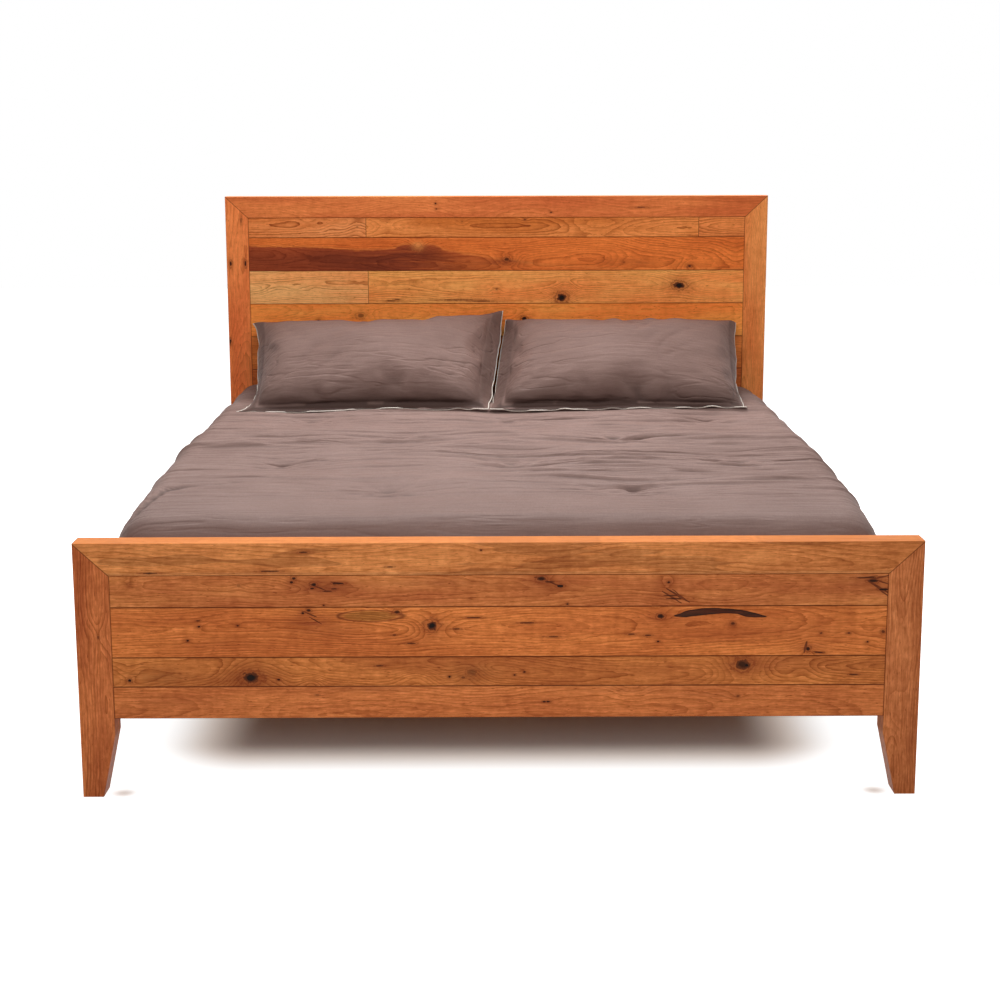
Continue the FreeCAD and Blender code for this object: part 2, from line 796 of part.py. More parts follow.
centre_beam()
nuts = []
for i in range(CENTRE_LEGS):
    nuts.append(centre_leg(i + 1, f"({i / (CENTRE_LEGS - 1) - 0.5} * (rail_length - 2 * leg_inset))"))
piece(group("nut_group", nuts), "leg_thread_nuts")


# Box springs and mattress
def upright(a, b):
    return not same(a.z, b.z)


def flat_at(z):
    return lambda a, b: same(a.z, b.z) and same(a.z, z)


def upholstered(name, width, height, corner, edge):
    """A rectangular block with round corners in plan and eased upper and lower edges."""
    body = prism(name, "XY_Plane", rectangle(width, MATTRESS_LENGTH), height)
    round_edges(body, corner, upright)
    round_edges(body, edge, flat_at(size(height)))
    return round_edges(body, edge, flat_at(0))


box_width = f"({MATTRESS_HALF} - box_gap / 2)"
box_left = upholstered("box_spring", box_width, "box_height", "box_corner", "box_round")
place(box_left, f"0 - {MATTRESS_HALF}", MATTRESS_FOOT, SLAT_TOP)
piece(box_left, "box_spring_left")
piece(mirror("box_spring_mirrored", box_left, ACROSS), "box_spring_right")
mattress = upholstered(
    "mattress_block", f"2 * {MATTRESS_HALF}", "mattress_height", "mattress_corner", "mattress_round"
)
place(mattress, f"0 - {MATTRESS_HALF}", MATTRESS_FOOT, f"{SLAT_TOP} + box_height")
piece(mattress, "mattress")


# Comforter
def arc(start, through, end):
    return Part.Arc(start, through, end).toShape()


def line(start, end):
    return Part.LineSegment(start, end).toShape()


def bow(start, end, rise):
    """An arc from start to end whose middle is offset by the vector rise."""
    return arc(start, (start + end) / 2 + rise, end)


SIDE_X = f"({MATTRESS_HALF} + comforter_bulge)"
SHOULDER_Z = f"({MATTRESS_TOP} + comforter_top)"
COMFORTER_FOOT = f"({MATTRESS_FOOT} - comforter_foot)"
COMFORTER_HEAD = "(rail_length / 2 - comforter_head_gap)"
HEM_Z = f"({RAIL_TOP} - comforter_hem_drop)"


def comforter_section(y, hem):
    """The outer outline of the comforter at one place along the bed, closed along the hem."""
    radius = size("comforter_shoulder")
    side = size(SIDE_X) - size("comforter_draw") * (min(y, 0) / size(COMFORTER_FOOT)) ** 2
    top = size(SHOULDER_Z)
    crown = size("comforter_crown")
    hem_z = size(HEM_Z)
    cut_back = radius * (1 - math.sqrt(0.5))
    right = [Vector(hem, y, hem_z), Vector(side, y, top - radius), Vector(side - radius, y, top)]
    left = [Vector(-p.x, p.y, p.z) for p in right]
    corner = [Vector(sign * (side - cut_back), y, top - cut_back) for sign in (-1, 1)]
    edges = [
        line(left[0], left[1]),
        arc(left[1], corner[0], left[2]),
        arc(left[2], Vector(0, y, top + crown), right[2]),
        arc(right[2], corner[1], right[1]),
        line(right[1], right[0]),
        line(right[0], left[0]),
    ]
    return Part.Wire(edges)


def plan_outline(z, foot, head, foot_half, half, corner):
    """A plan view with two round corners at the foot, which is as wide as stated or drawn in."""
    bend = corner * (1 - math.sqrt(0.5))
    right = [
        Vector(foot_half - corner, foot, z),
        Vector(foot_half, foot + corner, z),
        Vector(half, 0, z),
        Vector(half, head, z),
    ]
    left = [Vector(-p.x, p.y, p.z) for p in right]
    across = [Vector(sign * (foot_half - bend), foot + bend, z) for sign in (-1, 1)]
    edges = [
        line(left[0], right[0]),
        arc(right[0], across[1], right[1]),
        line(right[1], right[2]),
        line(right[2], right[3]),
        line(right[3], left[3]),
        line(left[3], left[2]),
        line(left[2], left[1]),
        arc(left[1], across[0], left[0]),
    ]
    return Part.Wire(edges)


def stack(outlines):
    """A solid with flat sides between plan views, from the lowest up."""
    return Part.makeLoft(outlines, True, True)


def comforter_outside():
    """The draped outline with hanging folds, rounded over the foot and round the foot's corners in plan."""
    foot, head = size(COMFORTER_FOOT), size(COMFORTER_HEAD)
    hem = size(f"{SIDE_X} + comforter_flare")
    fold = size("comforter_fold")
    stations = 2 * HANGING_FOLDS
    sections = [
        comforter_section(foot + (head - foot) * i / stations, hem + (fold if i % 2 else -fold))
        for i in range(stations + 1)
    ]
    drape = Part.makeLoft(sections, True, False)
    top = size(f"{SHOULDER_Z} + comforter_crown")
    low = size(HEM_Z)
    wide = hem + fold
    radius = size("comforter_foot_round")
    side_view = [
        Vector(-wide, foot, low),
        Vector(-wide, head, low),
        Vector(-wide, head, top),
        Vector(-wide, foot + radius, top),
        Vector(-wide, foot, top - radius),
    ]
    bend = radius * (1 - math.sqrt(0.5))
    middle = Vector(-wide, foot + bend, top - bend)
    edges = [line(a, b) for a, b in zip(side_view[:3], side_view[1:4])]
    edges += [arc(side_view[3], middle, side_view[4]), line(side_view[4], side_view[0])]
    side_block = Part.Face(Part.Wire(edges)).extrude(Vector(2 * wide, 0, 0))
    corner = size("comforter_corner")
    drawn_in = size(f"{SIDE_X} - comforter_draw")
    hem_plan = plan_outline(low, foot, head, wide, wide, corner)
    top_plan = plan_outline(top, foot, head, drawn_in, wide, corner)
    plan_block = stack([hem_plan, top_plan])
    return drape.common(side_block).common(plan_block)


def comforter_inside():
    """What the comforter hangs over: the mattress with room at its edges, and the side rails."""
    top = size(MATTRESS_TOP)
    low = size("panel_bottom")
    half = size(MATTRESS_HALF)
    room = size("mattress_edge_room")
    corner = size("mattress_corner")
    foot, head = size(MATTRESS_FOOT), size("rail_length / 2")
    rail_half = size(f"{RAIL_OUTER} + comforter_rail_gap")
    rail_top = size(f"{RAIL_TOP} + mattress_edge_room")
    levels = (
        (low, rail_half, foot),
        (rail_top, rail_half, foot),
        (top - DRAPE_START_SHARE * size("mattress_height"), half, foot),
        (top - room, half, foot),
        (top, half - room, foot + room),
    )
    block = stack([plan_outline(z, y, head, x, x, corner) for z, x, y in levels])
    tuck = size(f"{RAIL_TOP} + comforter_tuck_rise")
    length = size("comforter_foot")
    under_tuck = Part.makeBox(
        2 * rail_half,
        length + corner,
        tuck - low,
        Vector(-rail_half, foot - length, low),
    )
    return block.fuse(under_tuck)


def tuft_places():
    """Sewn ties in a staggered pattern, two and three to a row."""
    pitch_across = TUFT_PITCH_ACROSS_SHARE * size(f"2 * {MATTRESS_HALF}")
    pitch_along = TUFT_PITCH_ALONG_SHARE * size(MATTRESS_LENGTH)
    for row in range(TUFT_ROWS):
        in_row = 2 if row % 2 == 0 else 3
        for i in range(in_row):
            x = size("tuft_shift") + (i - (in_row - 1) / 2) * pitch_across
            yield x, size(MATTRESS_FOOT) + (row + 1) * pitch_along


def crown_height(x):
    """Height of the comforter's top across the bed."""
    half = size(f"{SIDE_X} - comforter_shoulder")
    rise = size("comforter_crown")
    radius = (half**2 + rise**2) / (2 * rise)
    return size(SHOULDER_Z) + rise - radius + math.sqrt(radius**2 - x**2)


def make_comforter():
    radius = size("tuft_radius")
    lift = radius - size("tuft_depth")
    dimples = [
        Part.makeSphere(radius, Vector(x, y, crown_height(x) + lift)) for x, y in tuft_places()
    ]
    shape = comforter_outside().cut(comforter_inside()).cut(Part.makeCompound(dimples))
    item = doc.addObject("Part::Feature", "comforter_drape")
    item.Shape = shape
    return item


# Pillows
def pillow_section(x, slant, half, bulge):
    """A lens with a thin flange below and above it; y runs up the pillow and z out of its face."""
    skin = size("pillow_flange_thick") / 2
    outer = half + size("pillow_flange")
    front = [Vector(x + slant * y, y, skin) for y in (-outer, -half, half, outer)]
    back = [Vector(p.x, p.y, -skin) for p in front]
    rise = Vector(0, 0, bulge)
    edges = [
        line(back[0], front[0]),
        line(front[0], front[1]),
        bow(front[1], front[2], rise),
        line(front[2], front[3]),
        line(front[3], back[3]),
        line(back[3], back[2]),
        bow(back[2], back[1], -rise),
        line(back[1], back[0]),
    ]
    return Part.Wire(edges)


PILLOW_REACH = f"({MATTRESS_HALF} - pillow_side_inset)"
# How full the pillow is at shares of its half length, from the middle to the start of the flange.
PILLOW_FULLNESS_SHARES = ((0, 1), (0.35, 0.98), (0.62, 0.87), (0.82, 0.62), (0.94, 0.32), (1, 0.06))


def pillow_shape(left_slant, right_slant):
    """A crowned pillow whose four sides draw in between its corners, lying flat about its middle.

    The slants say how far its ends lean to the right from the lower to the upper edge.
    """
    flange = size("pillow_flange")
    border = size(f"({PILLOW_REACH} - pillow_gap / 2) / 2")
    filled = border - flange
    half_height = size("pillow_height / 2")
    bulge = size("pillow_thick / 2 - pillow_flange_thick / 2")
    waist = size("pillow_waist")
    stations = [
        (share * filled, half_height - waist * (1 - share**2), full * bulge)
        for share, full in PILLOW_FULLNESS_SHARES
    ]
    stations.append((border, half_height, PILLOW_FULLNESS_SHARES[-1][1] * bulge / 2))
    ordered = [(-x, half, rise) for x, half, rise in reversed(stations[1:])] + stations
    corner = half_height + flange
    sections = []
    for x, half, rise in ordered:
        share = (x + border) / (2 * border)
        slant = (left_slant + share * (right_slant - left_slant)) / (2 * corner)
        sections.append(pillow_section(x, slant, half, rise))
    return Part.makeLoft(sections, True, False)


def make_pillow(name, side, roll, carried_by):
    """A pillow leaning back towards the headboard, seated on the comforter."""
    tilt = math.radians(PILLOW_TILT_DEG)
    half_height = size("pillow_height / 2")
    bulge = size("pillow_thick / 2")
    radius = (half_height**2 + bulge**2) / (2 * bulge)
    rise = radius - (radius - bulge) * math.cos(tilt)
    x = side * size(f"({PILLOW_REACH} + pillow_gap / 2) / 2")
    y = size(f"{HEAD_FACE} - pillow_head_gap") - (half_height + size("pillow_flange")) * math.cos(tilt)
    z = size(f"{SHOULDER_Z} + comforter_crown - pillow_sink") + rise
    lean = FreeCAD.Rotation(Vector(1, 0, 0), PILLOW_TILT_DEG)
    turn = FreeCAD.Rotation(Vector(0, 0, 1), roll)
    flare = side * size("pillow_flare")
    # Both pillows turn a little on the bed, and the line where they meet stays as it is.
    full_height = size("pillow_height + 2 * pillow_flange")
    meeting = size("pillow_meeting_slant") + full_height * math.tan(math.radians(roll))
    shape = pillow_shape(flare, meeting) if side < 0 else pillow_shape(meeting, flare)
    shape.Placement = FreeCAD.Placement(Vector(x, y, z), lean.multiply(turn))
    lifted = carried_by.copy()
    lifted.translate(Vector(0, 0, size("pillow_clearance")))
    item = doc.addObject("Part::Feature", name)
    item.Shape = shape.cut(lifted)
    return item


comforter = piece(make_comforter(), "comforter")
seat_block = comforter_outside()
for pillow_name, pillow_side, pillow_roll in (("pillow_left", -1, 1.1), ("pillow_right", 1, -0.3)):
    piece(make_pillow(pillow_name + "_form", pillow_side, pillow_roll, seat_block), pillow_name)

doc.recompute()


def check_and_export():
    """Stops on any failed object, then writes each sub-part to parts/."""
    failed = [item.Name for item in doc.Objects if {"Invalid", "Error"} & set(item.State)]
    if failed:
        raise RuntimeError(f"these objects failed: {failed}")
    for item in pieces:
        if item.Shape.isNull() or not item.Shape.isValid() or not item.Shape.Solids:
            raise RuntimeError(f"{item.Label} has no valid solid")
    os.makedirs("parts", exist_ok=True)
    for item in pieces:
        item.Shape.exportStep(f"parts/{item.Label}.step")
        bounds = item.Shape.optimalBoundingBox(False, False)
        print(f"{item.Label}: {len(item.Shape.Solids)} solid(s), volume {item.Shape.Volume / 1000:.0f} cm3, "
              f"{bounds.XLength:.0f} x {bounds.YLength:.0f} x {bounds.ZLength:.0f}")
    print(len(pieces), "pieces")


check_and_export()
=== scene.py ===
"""Dresses the king-size wooden bed: knotty cherry, bedding, camera and studio."""

import math

import bmesh
import bpy
from mathutils import Euler, Matrix, Vector
from mathutils import noise


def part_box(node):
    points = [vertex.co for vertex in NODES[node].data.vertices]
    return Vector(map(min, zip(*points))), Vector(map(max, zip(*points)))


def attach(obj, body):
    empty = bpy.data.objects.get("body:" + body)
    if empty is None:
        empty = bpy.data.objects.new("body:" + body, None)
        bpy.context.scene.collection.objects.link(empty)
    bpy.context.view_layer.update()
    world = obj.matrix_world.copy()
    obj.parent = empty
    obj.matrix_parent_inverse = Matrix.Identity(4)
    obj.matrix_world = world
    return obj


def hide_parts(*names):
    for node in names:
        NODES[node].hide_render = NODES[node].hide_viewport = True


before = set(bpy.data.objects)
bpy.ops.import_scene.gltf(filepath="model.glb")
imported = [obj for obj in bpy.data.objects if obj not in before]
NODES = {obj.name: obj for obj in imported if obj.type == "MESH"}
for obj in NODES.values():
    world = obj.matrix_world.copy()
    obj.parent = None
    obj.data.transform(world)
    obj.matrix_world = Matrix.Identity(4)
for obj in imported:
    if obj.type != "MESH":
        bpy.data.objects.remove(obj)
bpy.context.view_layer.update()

MM = 0.001


# Shader maths
class Field:
    """A number or vector in a node tree, so that a shader reads as a formula."""

    def __init__(self, tree, socket):
        self.tree = tree
        self.socket = socket

    def node(self, kind, inputs, **settings):
        """The first output of a new node."""
        return Field(self.tree, add(self.tree, kind, inputs, **settings).outputs[0])

    def do(self, operation, *others):
        return self.node("Math", dict(enumerate((self, *others))), operation=operation)

    def __rsub__(self, other):
        return self.do("MULTIPLY_ADD", -1.0, other)

    def abs(self):
        return self.do("ABSOLUTE")

    def step(self, low, high):
        """0 at low and 1 at high, with a smooth rise or fall between."""
        return self.node("MapRange", {0: self, 1: low, 2: high}, interpolation_type="SMOOTHSTEP")

    def ramp(self, low, high, start=0.0, end=1.0):
        return self.node("MapRange", {0: self, 1: low, 2: high, 3: start, 4: end})

    def split(self):
        made = add(self.tree, "SeparateXYZ", {0: self})
        return [Field(self.tree, out) for out in made.outputs]

    def stretch(self, scale, offset=(0, 0, 0)):
        """A vector scaled and then moved."""
        return self.node("VectorMath", {0: self, 1: scale, 2: offset}, operation="MULTIPLY_ADD")

    def noise(self, detail=2.0, rough=0.5):
        return self.node("TexNoise", {"Vector": self, "Scale": 1.0, "Detail": detail, "Roughness": rough})

    def curve(self, low, high, points):
        """A smooth curve from low to high through points (place, value)."""
        made = add(self.tree, "FloatCurve", {"Value": self.ramp(low, high)})
        line = made.mapping.curves[0]
        for _ in points[2:]:
            line.points.new(0.5, 0.5)
        for point, (place, value) in zip(line.points, points):
            point.location = ((place - low) / (high - low), value)
        made.mapping.update()
        return Field(self.tree, made.outputs[0])


def operator(name):
    return lambda field, other: field.do(name, other)


for sign, operation in {
    "__add__": "ADD", "__radd__": "ADD", "__sub__": "SUBTRACT", "__mul__": "MULTIPLY", "__rmul__": "MULTIPLY",
    "__truediv__": "DIVIDE", "__pow__": "POWER", "max": "MAXIMUM", "min": "MINIMUM",
}.items():
    setattr(Field, sign, operator(operation))


def plug(tree, socket, value):
    if isinstance(value, Field):
        tree.links.new(value.socket, socket)
    else:
        socket.default_value = value


def fill(tree, made, inputs):
    """Sets or links a node's inputs by name or number."""
    for key, value in inputs.items():
        plug(tree, made.inputs[key], value)


def put(target, **values):
    for name, value in values.items():
        setattr(target, name, value)


def add(tree, kind, inputs=None, **settings):
    made = tree.nodes.new("ShaderNode" + kind)
    put(made, **settings)
    fill(tree, made, inputs or {})
    return made


def linear(tone):
    """The linear colour with alpha for display values of 0 to 255."""
    return tuple(((c / 255 + 0.055) / 1.055) ** 2.4 if c > 10 else c / 3294.6 for c in tone) + (1.0,)


def mix(factor, *tones):
    """One colour at 0 and another at 1, each a field or three display values."""
    first, second = (tone if isinstance(tone, Field) else linear(tone) for tone in tones)
    made = add(factor.tree, "Mix", {0: factor, 6: first, 7: second}, data_type="RGBA")
    return Field(factor.tree, made.outputs[2])


def join(x, y, z):
    return x.node("CombineXYZ", {0: x, 1: y, 2: z})


def length(a, b):
    return (a * a + b * b) ** 0.5


def hump(a, factor=-1.0):
    """1 at 0, falling off to both sides."""
    return (a * a * factor).do("EXPONENT")


def material(name):
    """A new material, its tree, its shader and the object coordinates."""
    made = bpy.data.materials.new(name)
    made.use_nodes = True
    tree = made.node_tree
    shader = tree.nodes["Principled BSDF"]
    at = Field(tree, add(tree, "TexCoord").outputs["Object"])
    return made, tree, shader, at


def surface(tree, shader, base, roughness, height, distance, strength, settings=None):
    """Sets the shader's colour, roughness, bump (its distance in mm) and further settings."""
    bump = height.node("Bump", {"Height": height, "Distance": distance * MM, "Strength": strength})
    values = {"Base Color": base, "Roughness": roughness, "Normal": bump}
    fill(tree, shader, {**values, **(settings or {})})


def new_group(name, inputs, outputs):
    """A node group with its inputs as a dict of fields, and a function that sets its outputs."""
    tree = bpy.data.node_groups.new(name, "ShaderNodeTree")
    for side, labels in (("INPUT", inputs), ("OUTPUT", outputs)):
        for label in labels.split():
            kind = "Vector" if label == "Vector" else "Float"
            tree.interface.new_socket(name=label, in_out=side, socket_type="NodeSocket" + kind)
    source = tree.nodes.new("NodeGroupInput")
    sink = tree.nodes.new("NodeGroupOutput")
    fields = {label: Field(tree, source.outputs[label]) for label in inputs.split()}

    def finish(**values):
        for label, value in values.items():
            tree.links.new(value.socket, sink.inputs[label])
        return tree

    return fields, finish


def use_group(tree, group, **values):
    made = tree.nodes.new("ShaderNodeGroup")
    made.node_tree = group
    fill(tree, made, values)
    return {out.name: Field(tree, out) for out in made.outputs}


# Wood: growth rings of a log round a wandering pith, cut by the board's faces
def grain_group():
    """Vector is in metres: along the grain, across it, and into the board."""
    fields, finish = new_group(
        "grain", "Vector PithAcross PithDepth Slope Spacing Push Wander",
        "Line Tone Fibre Figure Fleck Streak Grit Mottle",
    )
    at = fields["Vector"]
    along, across, into = at.split()
    wide = at.stretch((1.3, 0.3, 0.3)).noise(1.0) - 0.5
    deep = at.stretch((1.9, 0.3, 0.3), (7, 3, 5)).noise(1.0) - 0.5
    side = across - fields["PithAcross"] + wide * 0.14 * fields["Wander"]
    depth = into + fields["PithDepth"] + along * fields["Slope"] + deep * 0.13 * fields["Wander"]
    warp = (at.stretch((3.5, 13, 13), (3, 9, 1)).noise(2.0) - 0.5) * 0.022
    warp = warp + (at.stretch((26, 90, 90)).noise(2.0) - 0.5) * 0.0048
    rings = (length(side, depth) + warp + fields["Push"]) / fields["Spacing"]
    phase = rings.do("FRACT")
    late = (phase ** 2.6) * phase.step(1.0, 0.94)
    number = rings.do("FLOOR")
    strength = join(number * 0.73, along * 1.5, 0.0).noise(1.0).step(0.30, 0.66)
    return finish(
        Line=late * (strength * 0.76 + 0.24),
        Tone=at.stretch((1.7, 10, 10), (2, 4, 8)).noise(3.0, 0.55).step(0.3, 0.7),
        Fibre=at.stretch((14, 520, 520)).noise(3.0, 0.65),
        Figure=at.stretch((34, 9, 9), (5, 5, 5)).noise(2.0, 0.6),
        Fleck=at.stretch((62, 400, 400), (9, 2, 4)).noise(1.0).step(0.66, 0.78),
        Streak=at.stretch((5, 115, 115), (6, 1, 7)).noise(2.0, 0.6),
        Grit=at.stretch((34, 240, 240), (8, 8, 1)).noise(2.0, 0.6),
        Mottle=at.stretch((46, 80, 80), (4, 6, 3)).noise(3.0, 0.7),
    )


def knot_group():
    """A knot bends the rings round itself and has a core, a dark rim and a reddish halo."""
    fields, finish = new_group(
        "knot", "Along Across Jitter Radius Long Reach Spread", "Push Core Heart Halo Rim",
    )
    du = fields["Along"] / fields["Long"]
    dv = fields["Across"]
    distance = length(du, dv)
    near = distance * (fields["Jitter"] * 1.0 + 0.37) / fields["Radius"]
    return finish(
        Push=hump(distance / fields["Spread"]) * fields["Reach"],
        Core=near.step(1.12, 0.86),
        Heart=near.step(0.80, 0.45),
        Halo=hump(near, -0.14),
        Rim=hump((near - 1.55) / 0.20),
    )


GRAIN = grain_group()
KNOT = knot_group()
# The axes along the grain, across it and into the board, by the grain's direction
AXES = {"X": (0, 2, 1), "Y": (1, 2, 0), "Z": (2, 0, 1)}
# Half the width between the posts, and the length of a board's tongue
CLEAR_HALF = 0.963
TONGUE = 8 * MM
KNOT_CORE = (92, 46, 24)
KNOT_HEART = (20, 9, 5)
KNOT_HALO = (146, 66, 30)
KNOT_RIM = (96, 40, 18)
KNOT_GLOW = (246, 158, 84)
HEADBOARD_SPECKLE = 0.65
MITRE_RISE = 0.082
MITRE_RUN = 0.087
wood_count = 0


def strongest(first, second):
    return second if first is None else first.max(second)


def knots_of(knots, along, middle, u, v, at):
    """What a board's knots do together, by name: push, core, heart, halo, rim and glow."""
    found = {}
    jitter = at.stretch((95, 95, 95)).noise(2.0, 0.6) if knots else None
    for x, z, radius, ratio, reach, spread, darkness in knots:
        first, second = (z, x) if along == "Z" else (x, z)
        seen = use_group(
            at.tree, KNOT, Along=u - (first * MM - middle[AXES[along][0]]),
            Across=v - (second * MM - middle[AXES[along][1]]), Jitter=jitter, Radius=radius * MM, Long=ratio,
            Reach=reach * MM, Spread=spread * MM,
        )
        found["push"] = found["push"] + seen["Push"] if found else seen["Push"]
        parts = {}
        if darkness > 0:
            parts["core"] = seen["Core"] * darkness
            parts["heart"] = seen["Heart"] if radius > 3 else seen["Core"]
            parts["halo"] = seen["Halo"] * min(1.0, darkness + 0.1)
            parts["rim"] = seen["Rim"] * darkness
        if darkness < 0:
            parts["glow"] = seen["Halo"] * -darkness
            parts["rim"] = seen["Rim"] * (darkness * -0.6)
        for name, value in parts.items():
            found[name] = strongest(found.get(name), value)
    return found


def wood(
    node, light, dark, along="X", pith=(0.0, 45), slope=0.02, spacing=6.5, wander=1.0, contrast=0.5,
    knots=(), mitre=None, ends=(), extra=None,
):
    """Gives a CAD node its own wood.

    Knots are (x, z, radius, length ratio, reach, spread, darkness), the measures in mm. A darkness
    below 0 makes a knot glow, and 0 only bends the rings.
    """
    global wood_count
    wood_count += 1
    made, tree, shader, at = material("wood_" + node)
    low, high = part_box(node)
    middle = [(a + b) / 2 for a, b in zip(low, high)]
    parts = at.split()
    u, v, w = (parts[i] - middle[i] for i in AXES[along])
    shift = wood_count * 3.37
    grain_at = join(u, v, w).stretch((1, 1, 1), (shift, 0, 0))
    found = knots_of(knots, along, middle, u, v, at)
    grain = use_group(
        tree, GRAIN,
        Vector=grain_at, PithAcross=pith[0] * MM, PithDepth=pith[1] * MM - shift * slope, Slope=slope,
        Spacing=spacing * MM, Push=found.get("push", 0.0), Wander=wander,
    )
    base = mix(grain["Tone"], light, dark)
    x, _, z = parts
    if extra:
        base = extra(base, x, z, grain)
    shade = 1.0 - grain["Line"] * contrast
    speckle = HEADBOARD_SPECKLE if node.startswith("head") else 1.0
    for texture, low_share, high_share in (
        ("Fibre", 0.72, 1.25), ("Streak", 0.86, 1.13), ("Grit", 0.80, 1.18), ("Mottle", 0.79, 1.18),
        ("Figure", 0.88, 1.11),
    ):
        start, end = 1 + (low_share - 1) * speckle, 1 + (high_share - 1) * speckle
        shade = shade * grain[texture].ramp(0.27, 0.73, start, end)
    shade = shade * (1.0 - grain["Fleck"] * 0.6)
    tint = join(shade ** 0.72, shade, shade ** 1.25)
    base = base.node("VectorMath", {0: base, 1: tint}, operation="MULTIPLY")
    height = grain["Fibre"] * 0.35 - grain["Line"] * 0.25 - grain["Fleck"] * 0.8
    roughness = grain["Fibre"] * 0.14 + grain["Line"] * 0.05 + 0.39
    if "glow" in found:
        base = mix(found["glow"] * 0.8, base, KNOT_GLOW)
    if "rim" in found:
        base = mix(found["rim"] * 0.55, base, KNOT_RIM)
    if "core" in found:
        core = found["core"]
        base = mix(found["halo"] * 0.55, base, KNOT_HALO)
        base = mix(core, base, mix(found["heart"], KNOT_CORE, KNOT_HEART))
        height = height - core * 2.2
        roughness = roughness + core * 0.15
    # Dark lines in the grooves between boards, at their joints and along the mitre: painted shade, with some
    # dirt
    seam = None
    if "board" in node or node == "head_bottom_rail":
        top = high[2] - TONGUE
        seam = (z - low[2]).min(top - z).step(2.4 * MM, 0.6 * MM)
        seam = seam.max((CLEAR_HALF - x.abs()).step(3.0 * MM, 0.8 * MM))
        for place in ends:
            seam = seam.max((x - place).abs().step(1.8 * MM, 0.4 * MM))
    if mitre is not None:
        run = (z - (mitre - MITRE_RISE)) * (MITRE_RUN / MITRE_RISE) - (x.abs() - CLEAR_HALF)
        seam = (run.abs() * 0.69).step(1.5 * MM, 0.5 * MM)
        outside = [(parts[i] - low[i]).min(high[i] - parts[i]) for i in range(3)]
        edge = outside[0].max(outside[1]).min(outside[0].max(outside[2])).min(outside[1].max(outside[2]))
        # Lighter, smoother edges: partly wear, partly a painted highlight
        wear_and_highlight = edge.step(5.0 * MM, 1.0 * MM) * grain["Fibre"].ramp(0.3, 0.7, 0.4, 1.0)
        base = mix(wear_and_highlight * 0.22, base, (235, 150, 84))
        # Painted highlight: the top face is lighter, as if lit from above
        upper = (z - mitre).step(-0.9 * MM, -0.3 * MM)
        base = mix(upper * 0.55, base, (255, 148, 62))
        roughness = roughness - wear_and_highlight * 0.06
    if seam is not None:
        # Painted shade and dirt in the grooves and joints
        base = mix(seam * 0.78, base, (70, 26, 12))
        roughness = roughness + seam * 0.2
    surface(tree, shader, base, roughness, height, 0.35, 0.5, {"Specular IOR Level": 0.10})
    dress(node, made)


def dress(node, made):
    """The node's own material slots get the material."""
    item = NODES[node]
    if not item.material_slots:
        item.data.materials.append(made)
    for slot in item.material_slots:
        slot.material = made


def heartwood(base, x, z, grain):
    """The dark red-brown band below a wavy edge at the left of the second row."""
    edge = x.curve(
        -0.97, 0.62,
        [(-0.97, 0.760), (-0.82, 0.735), (-0.67, 0.715), (-0.52, 0.630), (-0.42, 0.655), (-0.345, 0.80),
         (-0.27, 0.80), (-0.20, 0.630), (-0.075, 0.46), (0.05, 0.30), (0.28, 0.12), (0.62, 0.02)],
    )
    edge = edge * 0.129 + 1.144 + (grain["Figure"] - 0.5) * 0.010
    below = edge - z + (grain["Streak"] - 0.5) * 0.020
    inside = below.step(-2.0 * MM, 7.0 * MM)
    fade = x.step(0.22, -0.40) * 0.92 + 0.08
    deep = below.step(0.0, 0.045) * 0.5 + grain["Tone"] * 0.5
    band = mix(deep, (176, 80, 42), (116, 48, 27))
    streaks = grain["Streak"].step(0.50, 0.66) * x.step(-0.75, -0.05)
    band = mix(streaks * 0.55, band, (214, 104, 50))
    rim = (edge - z).abs().step(9 * MM, 0.0)
    base = mix(rim * 0.4, base, (236, 140, 70))
    base = mix(inside * fade, base, band)
    return blots(base, x, z, grain, (120, 46, 24), [
        ((34, 1176), (95, 13), 0.85), ((494, 1174), (120, 13), 0.55), ((-300, 1200), (70, 14), 0.45),
        ((740, 1164), (60, 10), 0.30),
    ])


def bark_inclusion(base, x, z, grain):
    """The long dark streak in the second row of the footboard, the reddish cluster and the pale eye."""
    middle = x.curve(
        0.43, 0.67,
        [(0.43, 0.50), (0.443, 0.52), (0.475, 0.66), (0.54, 0.80), (0.585, 0.76), (0.615, 0.60),
         (0.67, 0.40)],
    ) * 0.040 + 0.450
    thick = x.curve(
        0.43, 0.67,
        [(0.43, 0.0), (0.443, 0.16), (0.475, 0.42), (0.54, 0.36), (0.577, 0.26), (0.615, 0.34), (0.65, 0.14),
         (0.67, 0.0)],
    ) * 0.021
    away = (z - middle).abs() + (grain["Figure"] - 0.5) * 0.003
    streak = (away - thick).step(1.2 * MM, -0.8 * MM) * thick.step(0.4 * MM, 1.6 * MM)
    inner = (away - thick).step(-1.0 * MM, -3.5 * MM) * streak
    eye = length((x + 0.318) / 0.074, (z - 0.472) / 0.0135) + (grain["Figure"] - 0.5) * 0.25
    base = blots(base, x, z, grain, (140, 58, 30), [
        ((-462, 460), (60, 30), 0.85), ((-380, 440), (60, 16), 0.35), ((-166, 430), (70, 26), 0.30),
        ((400, 455), (70, 22), 0.30), ((560, 425), (130, 20), 0.22), ((-700, 400), (120, 14), 0.25),
        ((790, 440), (110, 24), 0.25), ((772, 386), (44, 14), 0.55),
    ])
    base = mix(eye.step(1.1, 0.8) * 0.85, base, (178, 112, 52))
    base = mix((eye - 0.45).abs().step(0.12, 0.0) * 0.35, base, (140, 80, 36))
    base = mix((eye - 1.08).abs().step(0.16, 0.0) * 0.75, base, (104, 46, 22))
    marks = strokes(x, z, [
        (765, 402, 759, 374, 7.0), (778, 378, 812, 372, 3.0), (-488, 486, -452, 470, 4.0),
        (-470, 470, -440, 452, 3.0),
    ])
    base = mix(marks * 0.85, base, (50, 22, 12))
    base = mix(streak, base, (34, 18, 10))
    return mix(inner * 0.8, base, mix(grain["Fibre"].step(0.4, 0.6), (96, 44, 26), (60, 34, 20)))


